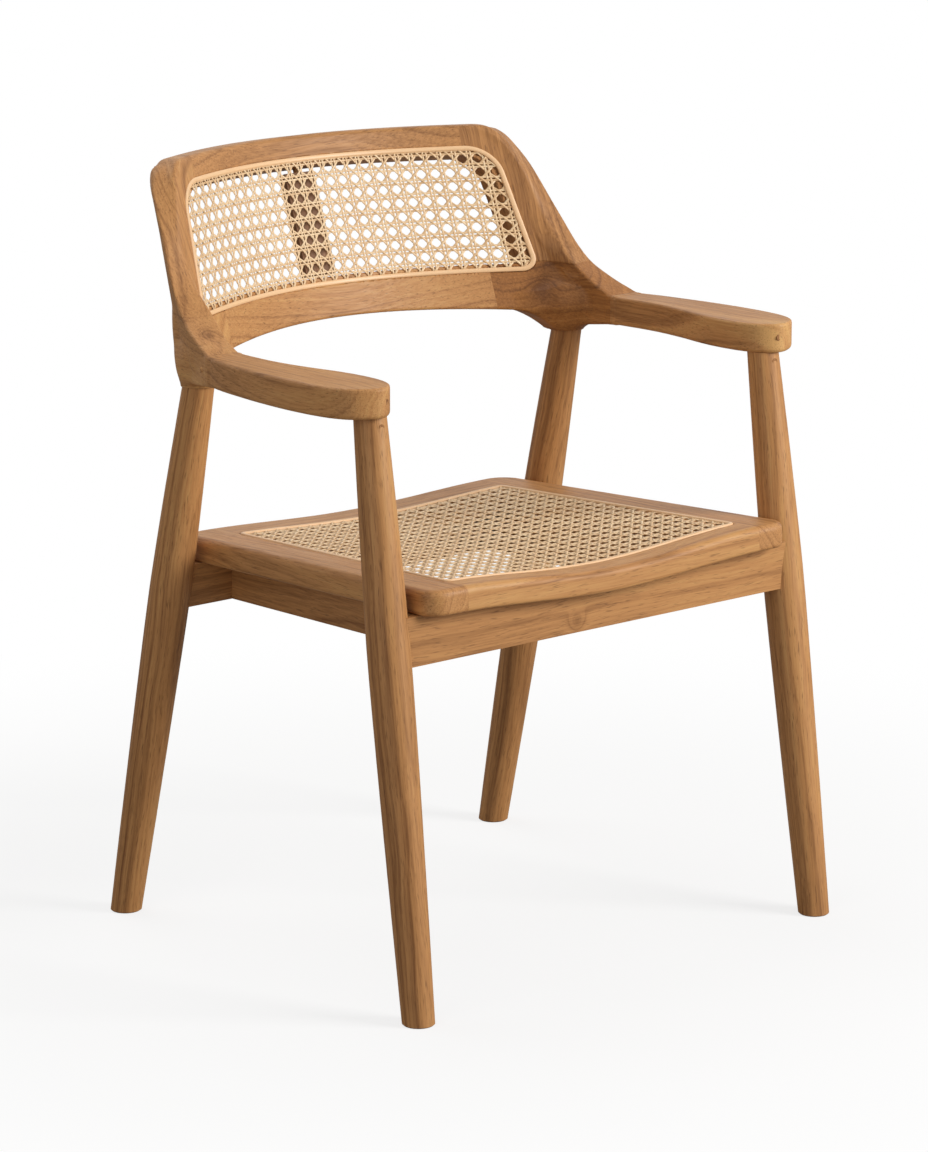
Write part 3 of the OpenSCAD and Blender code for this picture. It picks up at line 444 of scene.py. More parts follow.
def strandSet(lines, outline, step, wide, thick, heights, place, nextId):
    # Strands along straight lines of a flat panel: each line has a start, a unit direction and a
    # kind, the panel's outline clips it, heights lift it over and under, and a six-sided section
    # is carried along. place turns flat coordinates into the panel's surface.
    points, faces, marks, base = [], [], [], 0
    for start, way, kind in lines:
        t = clipLine(np.array(start, float), np.array(way, float), outline)
        if t is None or t[1] - t[0] < wide:
            continue
        count = max(int((t[1] - t[0]) / step), 2)
        at = np.linspace(t[0], t[1], count + 1)
        centre = np.array(start)[None] + at[:, None] * np.array(way)[None]
        lift = heights(kind, centre[:, 0], centre[:, 1])
        side = np.array([-way[1], way[0]])
        across = np.array([-0.5, -0.3, 0.3, 0.5, 0.32, -0.32]) * wide
        over = np.array([0.0, 0.5, 0.5, 0.0, -0.5, -0.5]) * thick
        flat = centre[:, None, :] + across[None, :, None] * side[None, None, :]
        ring = place(flat[..., 0], flat[..., 1], lift[:, None] + over[None, :])
        points.append(ring.reshape(-1, 3))
        quads = ringFaces(count + 1, 6, False) + base
        faces.extend(quads.tolist())
        faces.append([base + k for k in range(5, -1, -1)])
        faces.append([base + count * 6 + k for k in range(6)])
        marks.append(np.stack([np.repeat(at, 6), np.tile(across, count + 1),
                               np.full((count + 1) * 6, float(nextId))], -1))
        base += (count + 1) * 6
        nextId += 1
    return np.vstack(points), faces, np.vstack(marks)


def clipLine(start, way, outline):
    # Where a line runs inside a convex outline: each edge's half plane trims one end
    edge = np.roll(outline, -1, 0) - outline
    normal = np.stack([edge[:, 1], -edge[:, 0]], -1)
    gap = ((outline - start) * normal).sum(1)
    rate = normal @ way
    with np.errstate(divide="ignore", invalid="ignore"):
        t = gap / rate
    if (gap[np.abs(rate) < 1e-9] < 0).any():
        return None
    leave = t[rate > 1e-9].min(initial=1e9)
    enter = t[rate < -1e-9].max(initial=-1e9)
    return (enter, leave) if leave > enter else None


def weave(name, values, outline, place, node):
    # Six-way cane: paired strands both ways, and single diagonals that cross them half way
    # between the knots, one diagonal over the uprights and under the others, its twin the reverse
    px, py = values["pitch"]
    gap, lift = values["pairGap"] / 2, values["lift"]
    x0, y0 = values["phase"]
    low, high = outline.min(0), outline.max(0)

    def heights(kind, x, y):
        # A paired strand rises and falls as t exp(-t squared / 2) about each crossing, and a
        # diagonal as a cosine with flattened tops
        u, v = (x - x0) / px, (y - y0) / py
        if kind[0] == "warp":
            near = (v - np.round(v)) * py / gap
            return lift * 0.5 * kind[1] * -near * np.exp(0.5 - 0.5 * near ** 2)
        if kind[0] == "weft":
            near = (u - np.round(u)) * px / gap
            return lift * 0.5 * kind[1] * near * np.exp(0.5 - 0.5 * near ** 2)
        return lift * kind[1] * np.tanh(2.2 * np.cos(2 * np.pi * u)) / math.tanh(2.2)

    # The direction of a diagonal follows the two pitches
    slant = np.array([px, py]) / math.hypot(px, py)
    warp, weft, cross = [], [], []
    for i in range(int((low[0] - x0) / px) - 1, int((high[0] - x0) / px) + 2):
        for k in (-1, 1):
            warp.append(((x0 + i * px + k * gap, low[1]), (0.0, 1.0), ("warp", k)))
    for j in range(int((low[1] - y0) / py) - 1, int((high[1] - y0) / py) + 2):
        for k in (-1, 1):
            weft.append(((low[0], y0 + j * py + k * gap), (1.0, 0.0), ("weft", k)))
    reach = int((high[0] - low[0]) / px + (high[1] - low[1]) / py) + 4
    for i in range(-reach, reach):
        for k in (-1, 1):
            cross.append(((x0 + (i + 0.5) * px, y0), (slant[0] * k, slant[1]), ("cross", k)))
    sets = (("warp", warp, values["wide"], py / 8, 0), ("weft", weft, values["wide"], px / 8, 1000),
            ("diagonals", cross, values["crossWide"], px / 6, 2000))
    for part, lines, wide, step, firstId in sets:
        points, faces, marks = strandSet(lines, outline, step, wide, values["thick"], heights,
                                         lambda x, y, up: place(x, y, up - values["depth"]), firstId)
        mesh = newMesh(name + "_" + part, points, faces)
        addSmooth(mesh, caneMaterial, node, marks)
        print(name, part, len(faces), "faces")


# The cane ends under the reed, tucked in from the opening's edge
reed = {"wide": 5.2, "proud": 1.3, "deep": 3.8, "tuck": 4.6, "step": 4.0, "tuckStep": 6.0}


def reedRing(name, corners, radii, place, node):
    # Reed pressed into the groove: a rounded section carried round the panel's outline
    loop, at = roundedLoop(corners, radii, reed["step"])
    ahead, behind = np.roll(loop, -1, 0), np.roll(loop, 1, 0)
    way = ahead - behind
    way /= np.linalg.norm(way, axis=1)[:, None]
    outward = np.stack([way[:, 1], -way[:, 0]], -1)
    a = np.linspace(0, math.pi, 9)
    half = reed["wide"] / 2
    across = np.concatenate([np.cos(a) * half, [-half, half]])
    up = np.concatenate([np.sin(a) ** 0.8 * reed["proud"], [-reed["deep"], -reed["deep"]]])
    flat = loop[:, None, :] + across[None, :, None] * outward[:, None, :]
    ring = place(flat[..., 0], flat[..., 1], np.broadcast_to(up, flat.shape[:2]))
    faces = ringFaces(len(loop), len(up), True)[:, ::-1]
    marks = np.stack([np.repeat(at, len(up)), np.tile(across, len(loop)),
                      np.full(len(loop) * len(up), 5.0)], -1)
    mesh = newMesh(name, ring.reshape(-1, 3), faces.tolist())
    addSmooth(mesh, reedMaterial, node, marks)


caneMaterial = cane("split rattan skin")
reedMaterial = cane("rattan reed", "#F0CDA2", "#E9BE8E", "#CDA06C")

seatPanel = {
    "pitch": (15.5, 15.5), "phase": (0.0, 41.0), "pairGap": 3.6, "wide": 2.2, "crossWide": 2.3,
    "thick": 0.75, "lift": 0.62, "depth": 0.9,
    "frontHalf": 208.0, "rearHalf": 191.0, "frontIn": 34.0, "rearIn": 47.0, "corner": 7.0,
    "reedCorner": 6.0, "weaveCorner": 4.0,
}


def seatCorners(inset):
    # Corners of the seat's opening, drawn in by the inset
    v = seatPanel
    rear = chair["seatDeep"] - v["rearIn"] - inset
    front = v["frontIn"] + inset
    return [(-v["frontHalf"] + inset, front), (v["frontHalf"] - inset, front),
            (v["rearHalf"] - inset, rear), (-v["rearHalf"] + inset, rear)]


seatOutline, _ = roundedLoop(seatCorners(reed["tuck"]), [seatPanel["weaveCorner"]] * 4,
                             reed["tuckStep"])
weave("seat_weave", seatPanel, seatOutline, onSeat, "seat_cane")
reedRing("seat_reed", seatCorners(reed["wide"] / 2), [seatPanel["reedCorner"]] * 4, onSeat,
         "seat_spline")

backPanel = {
    "pitch": (15.6, 15.7), "phase": (7.8, 0.0), "pairGap": 3.6, "wide": 2.2, "crossWide": 2.3,
    "thick": 0.75, "lift": 0.62, "depth": 0.9,
    "topHalf": 223.0, "lowHalf": 241.0, "topRadius": 36.0, "lowRadius": 16.0, "sideShare": 0.88,
}


def backCorners(inset):
    # Corners of the back's opening, drawn in by the inset
    v = backPanel
    low, top = upTo(windowLow) + inset, upTo(windowTop) - inset
    side = inset * v["sideShare"]
    return [(-v["lowHalf"] + side, low), (v["lowHalf"] - side, low),
            (v["topHalf"] - side, top), (-v["topHalf"] + side, top)]


def backRadii(inset):
    # Radii of the same corners
    return [backPanel["lowRadius"] - inset] * 2 + [backPanel["topRadius"] - inset] * 2


backOutline, _ = roundedLoop(backCorners(reed["tuck"]), backRadii(reed["tuck"]),
                             reed["tuckStep"])
weave("back_weave", backPanel, backOutline, onBack, "back_cane")
reedRing("back_reed", backCorners(reed["wide"] / 2), backRadii(reed["wide"] / 2), onBack,
         "back_spline")
print("cane and reed are in their grooves")


# Carved wood: each solid is a field of distances, negative inside, whose zero is the surface

# Grid steps in mm, cells in a block's side, and the least angle of a sharp edge in degrees
carving = {"backStep": 1.8, "seatStep": 1.9, "quickStep": 4.0, "block": 4, "sharp": 38.0}


def sectionOf(a, b, r):
    # Common part of two solids; the edge where their surfaces meet is rounded to radius r
    return (np.minimum(np.maximum(a, b), -r)
            + np.hypot(np.maximum(a + r, 0), np.maximum(b + r, 0)))


def joinOf(a, b, r):
    # Both solids together; the hollow where their surfaces meet is filled to radius r
    return (np.maximum(np.minimum(a, b), r)
            - np.hypot(np.maximum(r - a, 0), np.maximum(r - b, 0)))


def taper(x, along, startHalf, endHalf, start, end, startRound, endRound):
    # Rounded trapezium, the same on both sides: distances to its side, first and last lines
    tilt = (startHalf - endHalf) / (end - start)
    side = (np.abs(x) - startHalf + tilt * (along - start)) / math.hypot(1, tilt)
    return np.maximum(sectionOf(side, start - along, startRound),
                      sectionOf(side, along - end, endRound))


def slideOnto(field, points, step):
    # Each point moves along the field's slope by value over slope, at most 0.6 of a cell
    h = 0.4  # mm to each side for the slope
    slope = np.stack([field(*(points + h * e).T) - field(*(points - h * e).T)
                      for e in np.eye(3)], -1) / (2 * h)
    move = -field(*points.T)[:, None] * slope / np.maximum((slope ** 2).sum(1), 0.3)[:, None]
    far = np.linalg.norm(move, axis=1)[:, None]
    return points + move * np.minimum(1, 0.6 * step / np.maximum(far, 1e-9))


def carve(shape, low, high, step, cut=None):
    # Dual surface of field = 0: one point in each grid cell that the surface crosses, at the mean
    # of the crossings on the cell's edges, then slid along the slope of the field onto zero.
    # Points near both the shape and a cut slide onto each in turn, which keeps that edge sharp
    field = shape if cut is None else lambda x, y, z: np.maximum(shape(x, y, z), cut(x, y, z))
    block = carving["block"]
    count = [int(math.ceil((b - a) / (block * step))) for a, b in zip(low, high)]
    middles = [a + block * step * (np.arange(n) + 0.5) for a, n in zip(low, count)]
    axes = [a + step * np.arange(block * n + 1) for a, n in zip(low, count)]
    # Blocks whose middle is far from the surface only need its sign
    rough = field(*np.meshgrid(*middles, indexing="ij"))
    spread = np.ones((block,) * 3)
    near = np.kron(np.abs(rough) < 1.25 * block * step, spread).astype(bool)
    value = np.pad(np.kron(np.where(rough < 0, -9.0, 9.0), spread), ((0, 1),) * 3, "edge")
    fresh = np.zeros(value.shape, bool)
    for i in (0, 1):
        for j in (0, 1):
            for k in (0, 1):
                fresh[i:i + near.shape[0], j:j + near.shape[1], k:k + near.shape[2]] |= near
    spot = np.nonzero(fresh)
    value[spot] = field(*[a[i] for a, i in zip(axes, spot)])
    cells = np.array(value.shape) - 1
    flat, spots, crossings = [], [], []
    for k in range(3):
        m, n = (k + 1) % 3, (k + 2) % 3
        lead = [slice(None)] * 3
        tail = [slice(None)] * 3
        lead[k], tail[k] = slice(0, -1), slice(1, None)
        a, b = value[tuple(lead)], value[tuple(tail)]
        at = np.argwhere((a < 0) != (b < 0))
        va, vb = a[tuple(at.T)], b[tuple(at.T)]
        spot = at.astype(float)
        spot[:, k] += va / (va - vb)
        corner = []
        for dm, dn in ((1, 1), (0, 1), (0, 0), (1, 0)):
            cell = at.copy()
            cell[:, m] -= dm
            cell[:, n] -= dn
            corner.append(np.ravel_multi_index(np.clip(cell, 0, cells - 1).T, cells))
            flat.append(corner[-1])
            spots.append(spot)
        inner = (at[:, m] > 0) & (at[:, m] < cells[m]) & (at[:, n] > 0) & (at[:, n] < cells[n])
        quad = np.stack(corner, -1)[inner]
        outward = (va < 0)[inner]
        crossings.append(np.where(outward[:, None], quad, quad[:, ::-1]))
    flat, spots = np.concatenate(flat), np.concatenate(spots)
    used, index = np.unique(flat, return_inverse=True)
    share = np.bincount(index)
    points = np.stack([np.bincount(index, spots[:, k]) / share for k in range(3)], -1)
    points = points * step + np.array([a[0] for a in axes])
    faces = np.searchsorted(used, np.concatenate(crossings))
    for turn in range(2):
        points = slideOnto(field, points, step)
    if cut is not None:
        edge = np.maximum(np.abs(shape(*points.T)), np.abs(cut(*points.T))) < 0.75 * step
        for turn in range(4):
            points[edge] = slideOnto(shape, points[edge], step)
            points[edge] = slideOnto(cut, points[edge], step)
    return points, faces


# Frame of the back, bowed and leaning, with the opening for the cane

backFrame = {
    "topHalf": 236.0, "footHalf": 255.0, "footDown": 30.0, "corner": 36.0, "turn": 50.0,
    "frontEdge": 4.0, "rearEdge": 6.0, "topEdge": 3.0, "innerEdge": 2.5, "ledge": 10.0,
    "grooveDeep": 4.0, "caneDeep": 2.0, "railDown": 35.0, "railSag": 6.0, "railEdge": 5.0,
    "riseFrom": 206.0, "rise": 0.012,
}


def inBack(x, y, z):
    # From room to back coordinates: the way behind the upright plane of the lean, the height up
    # the lean, and the depth behind the bowed face along its normal, whose foot three rounds find
    behind = (y - chair["backY"]) * math.cos(lean) - (z - leanAt) * math.sin(lean)
    up = (y - chair["backY"]) * math.sin(lean) + (z - leanAt) * math.cos(lean)
    c = math.cos(lean)
    foot = x
    for turn in range(3):
        tilt = np.hypot(c * slopeOf(foot), 1)
        miss = behind + c * bow(foot)
        deep = miss / tilt if turn == 0 else miss * tilt
        foot = x - deep * c * slopeOf(foot) / tilt
    return behind, up, deep


def windowField(x, up):
    # The cane's outline on the bowed face, whose height up the lean grows with the bow
    v = backPanel
    return taper(x, up + bow(x) * math.sin(lean), v["lowHalf"], v["topHalf"], upTo(windowLow),
                 upTo(windowTop), v["lowRadius"], v["topRadius"])


turnedAt = np.linspace(0, 330, 400)
turnedTo = (turnedAt * math.cos(math.radians(backFrame["turn"]))
            + math.cos(lean) * bow(turnedAt) * math.sin(math.radians(backFrame["turn"])))


def ringField(x, y, z):
    # Slab of the back's thickness inside its outline, less the opening, the ledge that carries
    # the cane and the groove that holds the reed
    v = backFrame
    behind, up, deep = inBack(x, y, z)
    turn = math.radians(v["turn"])
    across = np.abs(x) * math.cos(turn) - behind * math.sin(turn)
    face = np.interp(across, turnedTo, turnedAt)
    q = up + bow(face) * math.sin(lean)
    top, foot = upTo(backTop + chair["crestEase"]), upTo(jointZ - v["footDown"])
    tilt = (v["footHalf"] - v["topHalf"]) / (top - foot)
    side = (face - v["topHalf"] + tilt * (q - top)) / math.hypot(1, tilt)
    outline = sectionOf(q - top, side, v["corner"])
    outline = sectionOf(outline, z - backTop, v["topEdge"])
    rail = windowLow - v["railDown"] - v["railSag"] * (x / chair["jointHalf"]) ** 2
    past = np.maximum(np.abs(x) - v["riseFrom"], 0)
    outline = sectionOf(outline, rail - v["rise"] * past ** 2 - z, v["railEdge"])
    solid = sectionOf(sectionOf(outline, -deep, v["frontEdge"]), deep - chair["backThick"],
                      v["rearEdge"])
    opening = windowField(x, up)
    solid = sectionOf(solid, -(opening + v["ledge"]), v["innerEdge"])
    shelf = np.maximum(opening, deep - v["caneDeep"])
    groove = np.maximum(np.maximum(opening, -(opening + reed["wide"])), deep - v["grooveDeep"])
    return np.maximum(solid, -np.minimum(shelf, groove))


# The member that runs down the outer edge of a stile and sweeps forward into the arm

member = {"frontEdge": 3.0, "rearEdge": 4.0, "reach": 14.0, "webReach": 46.0, "webUnder": 700.0,
          "far": 60.0, "over": 6.0, "between": 4}


def onFace(x, z, deep=0.0):
    # Point of the bowed face, or of the wood behind it along the face's normal
    y = chair["backY"] + math.tan(lean) * (z - leanAt) - bow(x)
    normal = np.array([slopeOf(x), 1, -math.tan(lean)])
    return np.array([x, y, z]) + deep * normal / np.linalg.norm(normal)


# Each station gives inner front, outer front, outer back and inner back, on the right side
memberStations = np.array([
    (onFace(209, 829), (221, 222, 832), onFace(216, 832, 26), onFace(190, 829)),
    (onFace(222, 822), (239, 219, 831), onFace(236, 829, 26), onFace(203, 824)),
    (onFace(233, 812), (251.5, 213, 822), (248, 225, 818), onFace(214, 815)),
    (onFace(240, 800), (260, 205, 808), (254.5, 217, 806), onFace(220, 803)),
    (onFace(245.4, 785), (266.5, 192, 793), (259, 204.5, 791), onFace(226, 788)),
    (onFace(250.3, 770), (271, 178.5, 774), (263.5, 193, 772), onFace(231, 773)),
    (onFace(253.5, 755), (275, 167, 755), (268.3, 180.2, 755), onFace(234, 757)),
    (onFace(256.3, 740), (279, 157.5, 740), (272.2, 170.6, 740), onFace(237, 742)),
    ((258.2, 147.9, 725), (283, 148, 725), (276.2, 161.2, 725), onFace(239, 727)),
    ((258.2, 136.8, 710), (286, 138, 710), (278.5, 153, 709), onFace(241, 712)),
    ((257.7, 126, 700), (287.8, 130, 699), (279, 149, 696), (246, 146, 697)),
    ((257, 114.5, 690), (290.5, 121, 689), (279, 146, 682), (247, 148, 684)),
    ((257.5, 104.7, 682), (293, 112, 680), (278, 145, 668), (249, 147, 668)),
    ((260, 92, 673), (297, 99, 672), (277, 142, 650), (252, 141, 650)),
    ((262.5, 78, 663), (301.5, 79, 661), (279, 134, 620), (256, 131, 617)),
    ((264.4, 65.6, 657), (304.5, 65, 656.5), (288, 106, 612), (262, 106, 612)),
    ((265, 57, 653), (306.5, 57, 653), (300, 78, 616), (264, 78, 616)),
    ((265.5, 53, 651), (307.5, 53, 651), (307.5, 53, 619), (265.5, 53, 619))], float)


def throughPoints(knots, n):
    # Curve through the knots whose slope at each one is half the step between its neighbours
    k = np.arange(len(knots) - 1)[:, None]
    f = (np.arange(n) / n)[None, :, None]
    a, b = knots[np.maximum(k - 1, 0)], knots[k]
    c, d = knots[k + 1], knots[np.minimum(k + 2, len(knots) - 1)]
    path = 0.5 * (2 * b + (c - a) * f + (2 * a - 5 * b + 4 * c - d) * f ** 2
                  + (3 * b - a - 3 * c + d) * f ** 3)
    return np.concatenate([path.reshape(-1, knots.shape[1]), knots[-1:]])


def nearPoints(knots, n):
    # Uniform cubic B-spline: it passes near the knots and bends evenly
    more = np.concatenate([2 * knots[:1] - knots[1:2], knots, 2 * knots[-1:] - knots[-2:-1]])
    f = (np.arange(n) / n).reshape(1, n, *[1] * (knots.ndim - 1))
    a, b, c, d = [more[i:len(more) - 3 + i, None] for i in range(4)]
    path = ((1 - f) ** 3 * a + (3 * f ** 3 - 6 * f ** 2 + 4) * b
            + (3 * f + 3 * f ** 2 - 3 * f ** 3 + 1) * c + f ** 3 * d) / 6
    return np.concatenate([path.reshape(-1, *knots.shape[1:]), knots[-1:]])


# Each station's plane looks along the path, and its sides look outwards
stations = nearPoints(memberStations, member["between"])
stationMiddles = stations.mean(1)
stationWays = np.cross(stations[:, 3] - stations[:, 1], stations[:, 2] - stations[:, 0])
stationWays /= np.linalg.norm(stationWays, axis=1)[:, None]
stationWays *= np.sign((stationWays * np.gradient(stationMiddles, axis=0)).sum(1))[:, None]
firstSide = np.cross(stationWays[0], stations[0, 1] - stations[0, 0])
stationSense = np.sign(firstSide @ (stations[0, 0] - stationMiddles[0]))


def memberField(x, y, z):
    # Four-sided section carried along the path. A point between two neighbouring stations gets
    # their section in proportion to its distances from their planes, and the distances to its
    # four sides, two by two with rounded edges
    v = member
    p = np.stack([np.abs(x).ravel(), np.ravel(y), np.ravel(z)], -1)
    best = np.full(len(p), v["far"])
    last = len(stations) - 2
    for k in range(last + 1):
        a, b = stations[k], stations[k + 1]
        reach = v["webReach"] if a[0, 2] < v["webUnder"] else v["reach"]
        low, high = np.minimum(a.min(0), b.min(0)) - reach, np.maximum(a.max(0), b.max(0)) + reach
        pick = np.flatnonzero(((p >= low) & (p <= high)).all(1))
        past = (p[pick] - stationMiddles[k]) @ stationWays[k]
        left = (stationMiddles[k + 1] - p[pick]) @ stationWays[k + 1]
        inside = (past >= 0) & (left > (-v["over"] if k == last else 0))
        pick = pick[inside]
        if not len(pick):
            continue
        q = p[pick]
        t = np.clip((past / np.maximum(past + left, 1e-6))[inside], 0, 1)[:, None]
        corners = a[None] + t[:, :, None] * (b - a)[None]
        way = stationWays[k] + t * (stationWays[k + 1] - stationWays[k])
        sides = []
        for i in range(4):
            edge = corners[:, (i + 1) % 4] - corners[:, i]
            normal = np.cross(way, edge)
            normal /= np.linalg.norm(normal, axis=1)[:, None]
            sides.append(((q - corners[:, i]) * normal).sum(1) * stationSense)
        value = sectionOf(sectionOf(sides[0], sides[1], v["frontEdge"]),
                          sectionOf(sides[2], sides[3], v["rearEdge"]), v["frontEdge"])
        best[pick] = np.minimum(best[pick], value)
    return best.reshape(np.shape(x))


# Arm in plan, in mm on the right side, from the elbow round the hand and back

arm = {"topEdge": 3.0, "lowEdge": 5.0, "over": 6.0, "margin": 30.0}
armPlan = np.array([
    (264, 83), (265.5, 53), (268, 20), (268, -20), (262.8, -60), (254.9, -100), (252, -135),
    (255, -167), (265, -188), (284.3, -199), (309, -187), (322, -165), (327, -135), (328, -95),
    (325, -50), (320, -10), (314.5, 24), (307.5, 53), (301, 83)], float)
armOutline = throughPoints(armPlan, 5)


def planTable(outline, step=1.0):
    # Signed distance to a closed outline on a grid, for quick reading later
    low, high = outline.min(0) - arm["margin"], outline.max(0) + arm["margin"]
    gx, gy = np.arange(low[0], high[0], step), np.arange(low[1], high[1], step)
    p = np.stack(np.meshgrid(gx, gy, indexing="ij"), -1)
    nearest = np.full(p.shape[:2], 1e9)
    inside = np.zeros(p.shape[:2], bool)
    for a, b in zip(outline, np.roll(outline, -1, 0)):
        e = b - a
        t = np.clip(((p - a) @ e) / (e @ e), 0, 1)
        nearest = np.minimum(nearest, np.linalg.norm(p - a - t[..., None] * e, axis=-1))
        if a[1] != b[1]:
            spans = (a[1] > p[..., 1]) != (b[1] > p[..., 1])
            inside ^= spans & (p[..., 0] < a[0] + (p[..., 1] - a[1]) * e[0] / e[1])
    return low, step, np.where(inside, -nearest, nearest)


armTable = planTable(armOutline)


def readTable(table, x, y):
    # Between the grid's points the distance changes in proportion both ways
    low, step, grid = table
    u = np.clip((x - low[0]) / step, 0, grid.shape[0] - 1.001)
    v = np.clip((y - low[1]) / step, 0, grid.shape[1] - 1.001)
    i, j = u.astype(int), v.astype(int)
    u, v = u - i, v - j
    return (grid[i, j] * (1 - u) * (1 - v) + grid[i + 1, j] * u * (1 - v)
            + grid[i, j + 1] * (1 - u) * v + grid[i + 1, j + 1] * u * v)


def armField(x, y, z):
    # The plan's outline between the arm's two faces, with rounded edges
    plan = readTable(armTable, np.abs(x), y)
    solid = sectionOf(sectionOf(plan, z - armTop, arm["topEdge"]), chair["armUnder"] - z,
                      arm["lowEdge"])
    return np.maximum(solid, y - chair["armJointY"] - arm["over"])


collar = {"foot": (272.0, 256.0, 0.0), "top": (264.0, 124.0, 606.0), "radius": 17.0,
          "flare": 3.0, "over": 14.0, "close": 42.0, "scale": 0.9}


def rise(value, start, over):
    # Share of the way over a stretch from its start: 0 before it and 1 past it
    return np.clip((value - start) / over, 0, 1)


def collarField(x, y, z):
    # Round flare from the rear leg into the elbow: it widens from one level end to the other, as
    # 3 t squared - 2 t cubed, and closes like an ellipse inside the wood above
    a, b = np.array(collar["foot"]), np.array(collar["top"])
    way = (b - a) / np.linalg.norm(b - a)
    p = np.stack([np.abs(x) - b[0], y - b[1], z - b[2]], -1)
    along = p @ way
    out = np.linalg.norm(p - along[..., None] * way, axis=-1)
    grow = rise(along, 0, collar["over"])
    close = rise(along, collar["over"], collar["close"])
    wide = collar["radius"] + collar["flare"] * grow ** 2 * (3 - 2 * grow)
    cone = collar["scale"] * (out - wide * np.sqrt(1 - close ** 2))
    return np.maximum(cone, along - collar["over"] - collar["close"] + 1)


# How far the hollows are filled where two forms meet, and where in height the webs grow
fills = {
    "least": 0.2, "clear": 3.0, "clearOver": 22.0, "web": 20.0, "webUp": 74.0, "webOver": 50.0,
    "lowWeb": 27.0, "lowWebUp": 30.0, "lowWebOver": 36.0, "lowWebDown": 42.0, "lowWebGrow": 26.0,
    "faceDeep": 12.0, "collar": 11.0, "collarMore": 6.0, "collarOver": 20.0, "arm": 2.0,
}


def upperField(x, y, z):
    # The whole upper frame as one carved form: ring, members, arms and collars run together
    v = fills
    behind, up, deep = inBack(x, y, z)
    clear = rise(windowField(x, up), v["clear"], v["clearOver"])
    low = rise(-z, -armTop - v["webUp"], v["webOver"])
    web = v["least"] + v["web"] * low ** 2 * (3 - 2 * low) * clear
    # The web in front of the face is wider where the leg runs into the elbow
    low = rise(-z, -armTop - v["lowWebUp"], v["lowWebOver"])
    low *= rise(z, armTop - v["lowWebDown"], v["lowWebGrow"])
    low *= rise(-deep, -v["faceDeep"], v["faceDeep"])
    web += v["lowWeb"] * low ** 2 * (3 - 2 * low) * clear
    solid = joinOf(ringField(x, y, z), memberField(x, y, z), web)
    fill = v["collar"] + v["collarMore"] * rise(z, chair["armUnder"], v["collarOver"])
    solid = joinOf(solid, collarField(x, y, z), fill)
    solid = joinOf(solid, armField(x, y, z), v["arm"])
    return np.maximum(np.maximum(solid, collar["top"][2] - z), z - backTop)


def dropCrumbs(work):
    # Only the largest group of joined faces stays; the grid leaves a few specks beside it
    left, groups = set(work.faces), []
    while left:
        group = [left.pop()]
        for face in group:
            fresh = {g for e in face.edges for g in e.link_faces} & left
            left -= fresh
            group.extend(fresh)
        groups.append(group)
    groups.sort(key=len)
    specks = [f for group in groups[:-1] for f in group]
    bmesh.ops.delete(work, geom=specks, context="FACES")


def woodOf(node):
    # The teak that the node already wears
    return nodes[node].material_slots[0].material


def cutPiece(node, points, faces, planes, flip=False):
    # One piece of a carved form: everything on the inner side of each glue plane, each cut
    # closed with a flat face. A plane is a point and the direction of what is cut away
    mesh = newMesh(node + "_carved", points, faces.tolist())
    work = bmesh.new()
    work.from_mesh(mesh)
    for at, away in planes:
        cut = bmesh.ops.bisect_plane(work, geom=work.verts[:] + work.edges[:] + work.faces[:],
                                     plane_co=Vector(at) * mm, plane_no=Vector(away),
                                     clear_outer=True, dist=1e-6)
        rim = [e for e in cut["geom_cut"] if isinstance(e, bmesh.types.BMEdge)]
        filled = bmesh.ops.triangle_fill(work, edges=rim, use_beauty=True, normal=Vector(away))
        for g in filled["geom"]:
            if isinstance(g, bmesh.types.BMFace):
                if g.normal.dot(Vector(away)) < 0:
                    g.normal_flip()
                g.tag = True
    dropCrumbs(work)
    for f in work.faces:
        f.smooth = not f.tag
    if flip:
        for v in work.verts:
            v.co.x = -v.co.x
        bmesh.ops.reverse_faces(work, faces=work.faces[:])
    work.to_mesh(mesh)
    work.free()
    addPiece(mesh, woodOf(node), node)


def carveUpper(low, high):
    # Part of the upper frame within a box, level along the crest
    points, faces = carve(upperField, low, high, backStep)
    points[:, 2] = np.minimum(points[:, 2], backTop)
    return points + shift, faces


backStep = carving["backStep"]
stileRight = (chair["jointHalf"], 0, 0)
stileLeft = (-chair["jointHalf"], 0, 0)
railSplit = (0, 0, leanAt)
stileFoot = (0, 0, jointZ)
armEnd = (0, chair["armJointY"] - planMid, 0)
# Each box reaches a little past the wood that is cut from it, in mm from the feet's middle
points, faces = carveUpper((-196, 130, 630), (196, 306, 838))
for node, way in (("crest_rail", (0, 0, -1)), ("lower_back_rail", (0, 0, 1))):
    cutPiece(node, points, faces, [(stileRight, (1, 0, 0)), (stileLeft, (-1, 0, 0)),
                                   (railSplit, way)])
points, faces = carveUpper((184, -206, 600), (334, 306, 838))
for name, planes in (
        ("back_stile", [(stileRight, (-1, 0, 0)), (stileFoot, (0, 0, -1))]),
        ("elbow", [(stileRight, (-1, 0, 0)), (stileFoot, (0, 0, 1)), (armEnd, (0, -1, 0))]),
        ("arm", [(armEnd, (0, 1, 0))])):
    for side in ("left", "right"):
        cutPiece(name + "_" + side, points, faces, planes, side == "left")
print("the upper frame is carved")


# Seat frame: one hollowed form, glued up from four rails

seatFrame = {
    "frontHalf": 257.0, "rearHalf": 236.0, "frontRound": 24.0, "rearRound": 30.0, "thick": 27.0,
    "topEdge": 7.0, "lowEdge": 4.0, "innerEdge": 1.5, "ledge": 15.0, "grooveDeep": 4.0,
    "caneDeep": 2.0,
}


def inSeat(x, y, z):
    # From room to seat coordinates: back from the front edge and height above the flat seat
    rake = math.radians(chair["seatRake"])
    y, z = y + chair["seatFrontY"], z - chair["seatHigh"]
    return y * math.cos(rake) - z * math.sin(rake), y * math.sin(rake) + z * math.cos(rake)


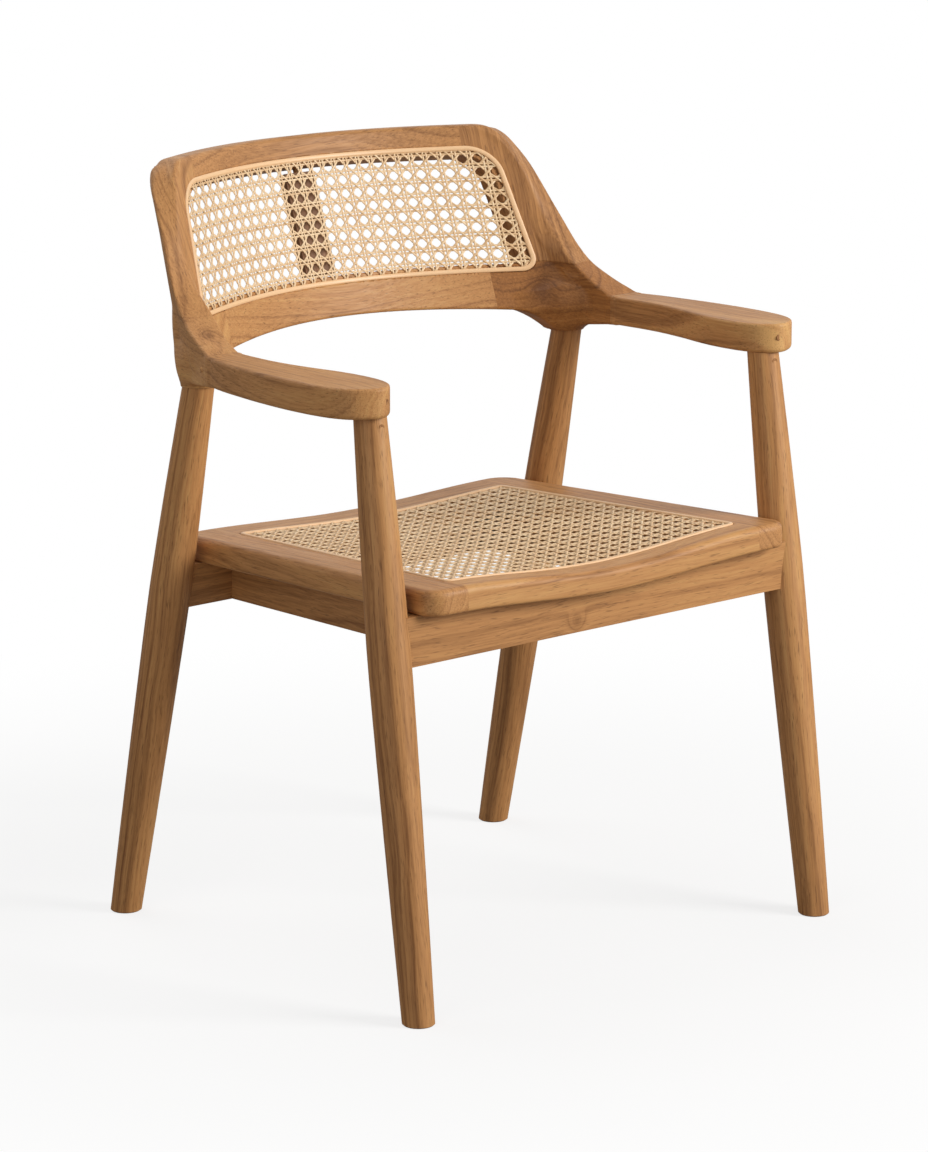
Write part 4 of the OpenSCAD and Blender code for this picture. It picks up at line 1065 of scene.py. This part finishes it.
def seatField(x, y, z):
    # The plan between two hollowed faces, less the opening, the ledge and the reed's groove
    v, panel = seatFrame, seatPanel
    back, high = inSeat(x, y, z)
    up = high + dishAt(x, back)
    below = dished(x, chair["dishUnder"])
    plan = taper(x, back, v["frontHalf"], v["rearHalf"], 0, chair["seatDeep"], v["frontRound"],
                 v["rearRound"])
    solid = sectionOf(sectionOf(plan, up, v["topEdge"]), -high - v["thick"] - below, v["lowEdge"])
    opening = taper(x, back, panel["frontHalf"], panel["rearHalf"], panel["frontIn"],
                    chair["seatDeep"] - panel["rearIn"], panel["corner"], panel["corner"])
    solid = sectionOf(solid, -(opening + v["ledge"]), v["innerEdge"])
    shelf = np.maximum(opening, -up - v["caneDeep"])
    groove = np.maximum(np.maximum(opening, -(opening + reed["wide"])), -up - v["grooveDeep"])
    return np.maximum(solid, -np.minimum(shelf, groove))


def railZone(x, half, past):
    # Ends of a rail: square across the frame, then mitred through the ledge from its corner
    return np.maximum(np.abs(x) - half, (np.abs(x) - half + past) / math.sqrt(2))


def frontZone(x, y, z):
    # The front rail ends at the opening's front corners
    return railZone(x, seatPanel["frontHalf"], inSeat(x, y, z)[0] - seatPanel["frontIn"])


def rearZone(x, y, z):
    # The back rail ends at its rear corners
    corner = chair["seatDeep"] - seatPanel["rearIn"]
    return railZone(x, seatPanel["rearHalf"], corner - inSeat(x, y, z)[0])


def sideZone(x, y, z):
    # What the front and back rails leave
    return -np.minimum(frontZone(x, y, z), rearZone(x, y, z))


def addCarved(node, points, faces):
    # The carved form of one rail, with its sharp edges kept apart in the shading
    mesh = newMesh(node + "_carved", points + shift, faces.tolist())
    addSmooth(mesh, woodOf(node), node)
    mesh.set_sharp_from_angle(angle=math.radians(carving["sharp"]))


seatStep = carving["seatStep"]
frontY = -chair["seatFrontY"]
addCarved("seat_front_rail", *carve(seatField, (-214, frontY - 6, 398), (214, frontY + 58, 456),
                                    seatStep, frontZone))
addCarved("seat_back_rail", *carve(seatField, (-197, frontY + 372, 384), (197, frontY + 450, 446),
                                   seatStep, rearZone))
points, faces = carve(seatField, (160, frontY - 6, 384), (264, frontY + 450, 456), seatStep,
                      sideZone)
addCarved("seat_side_rail_right", points, faces)
addCarved("seat_side_rail_left", points * (-1, 1, 1), faces[:, ::-1])
print("the seat frame is carved")
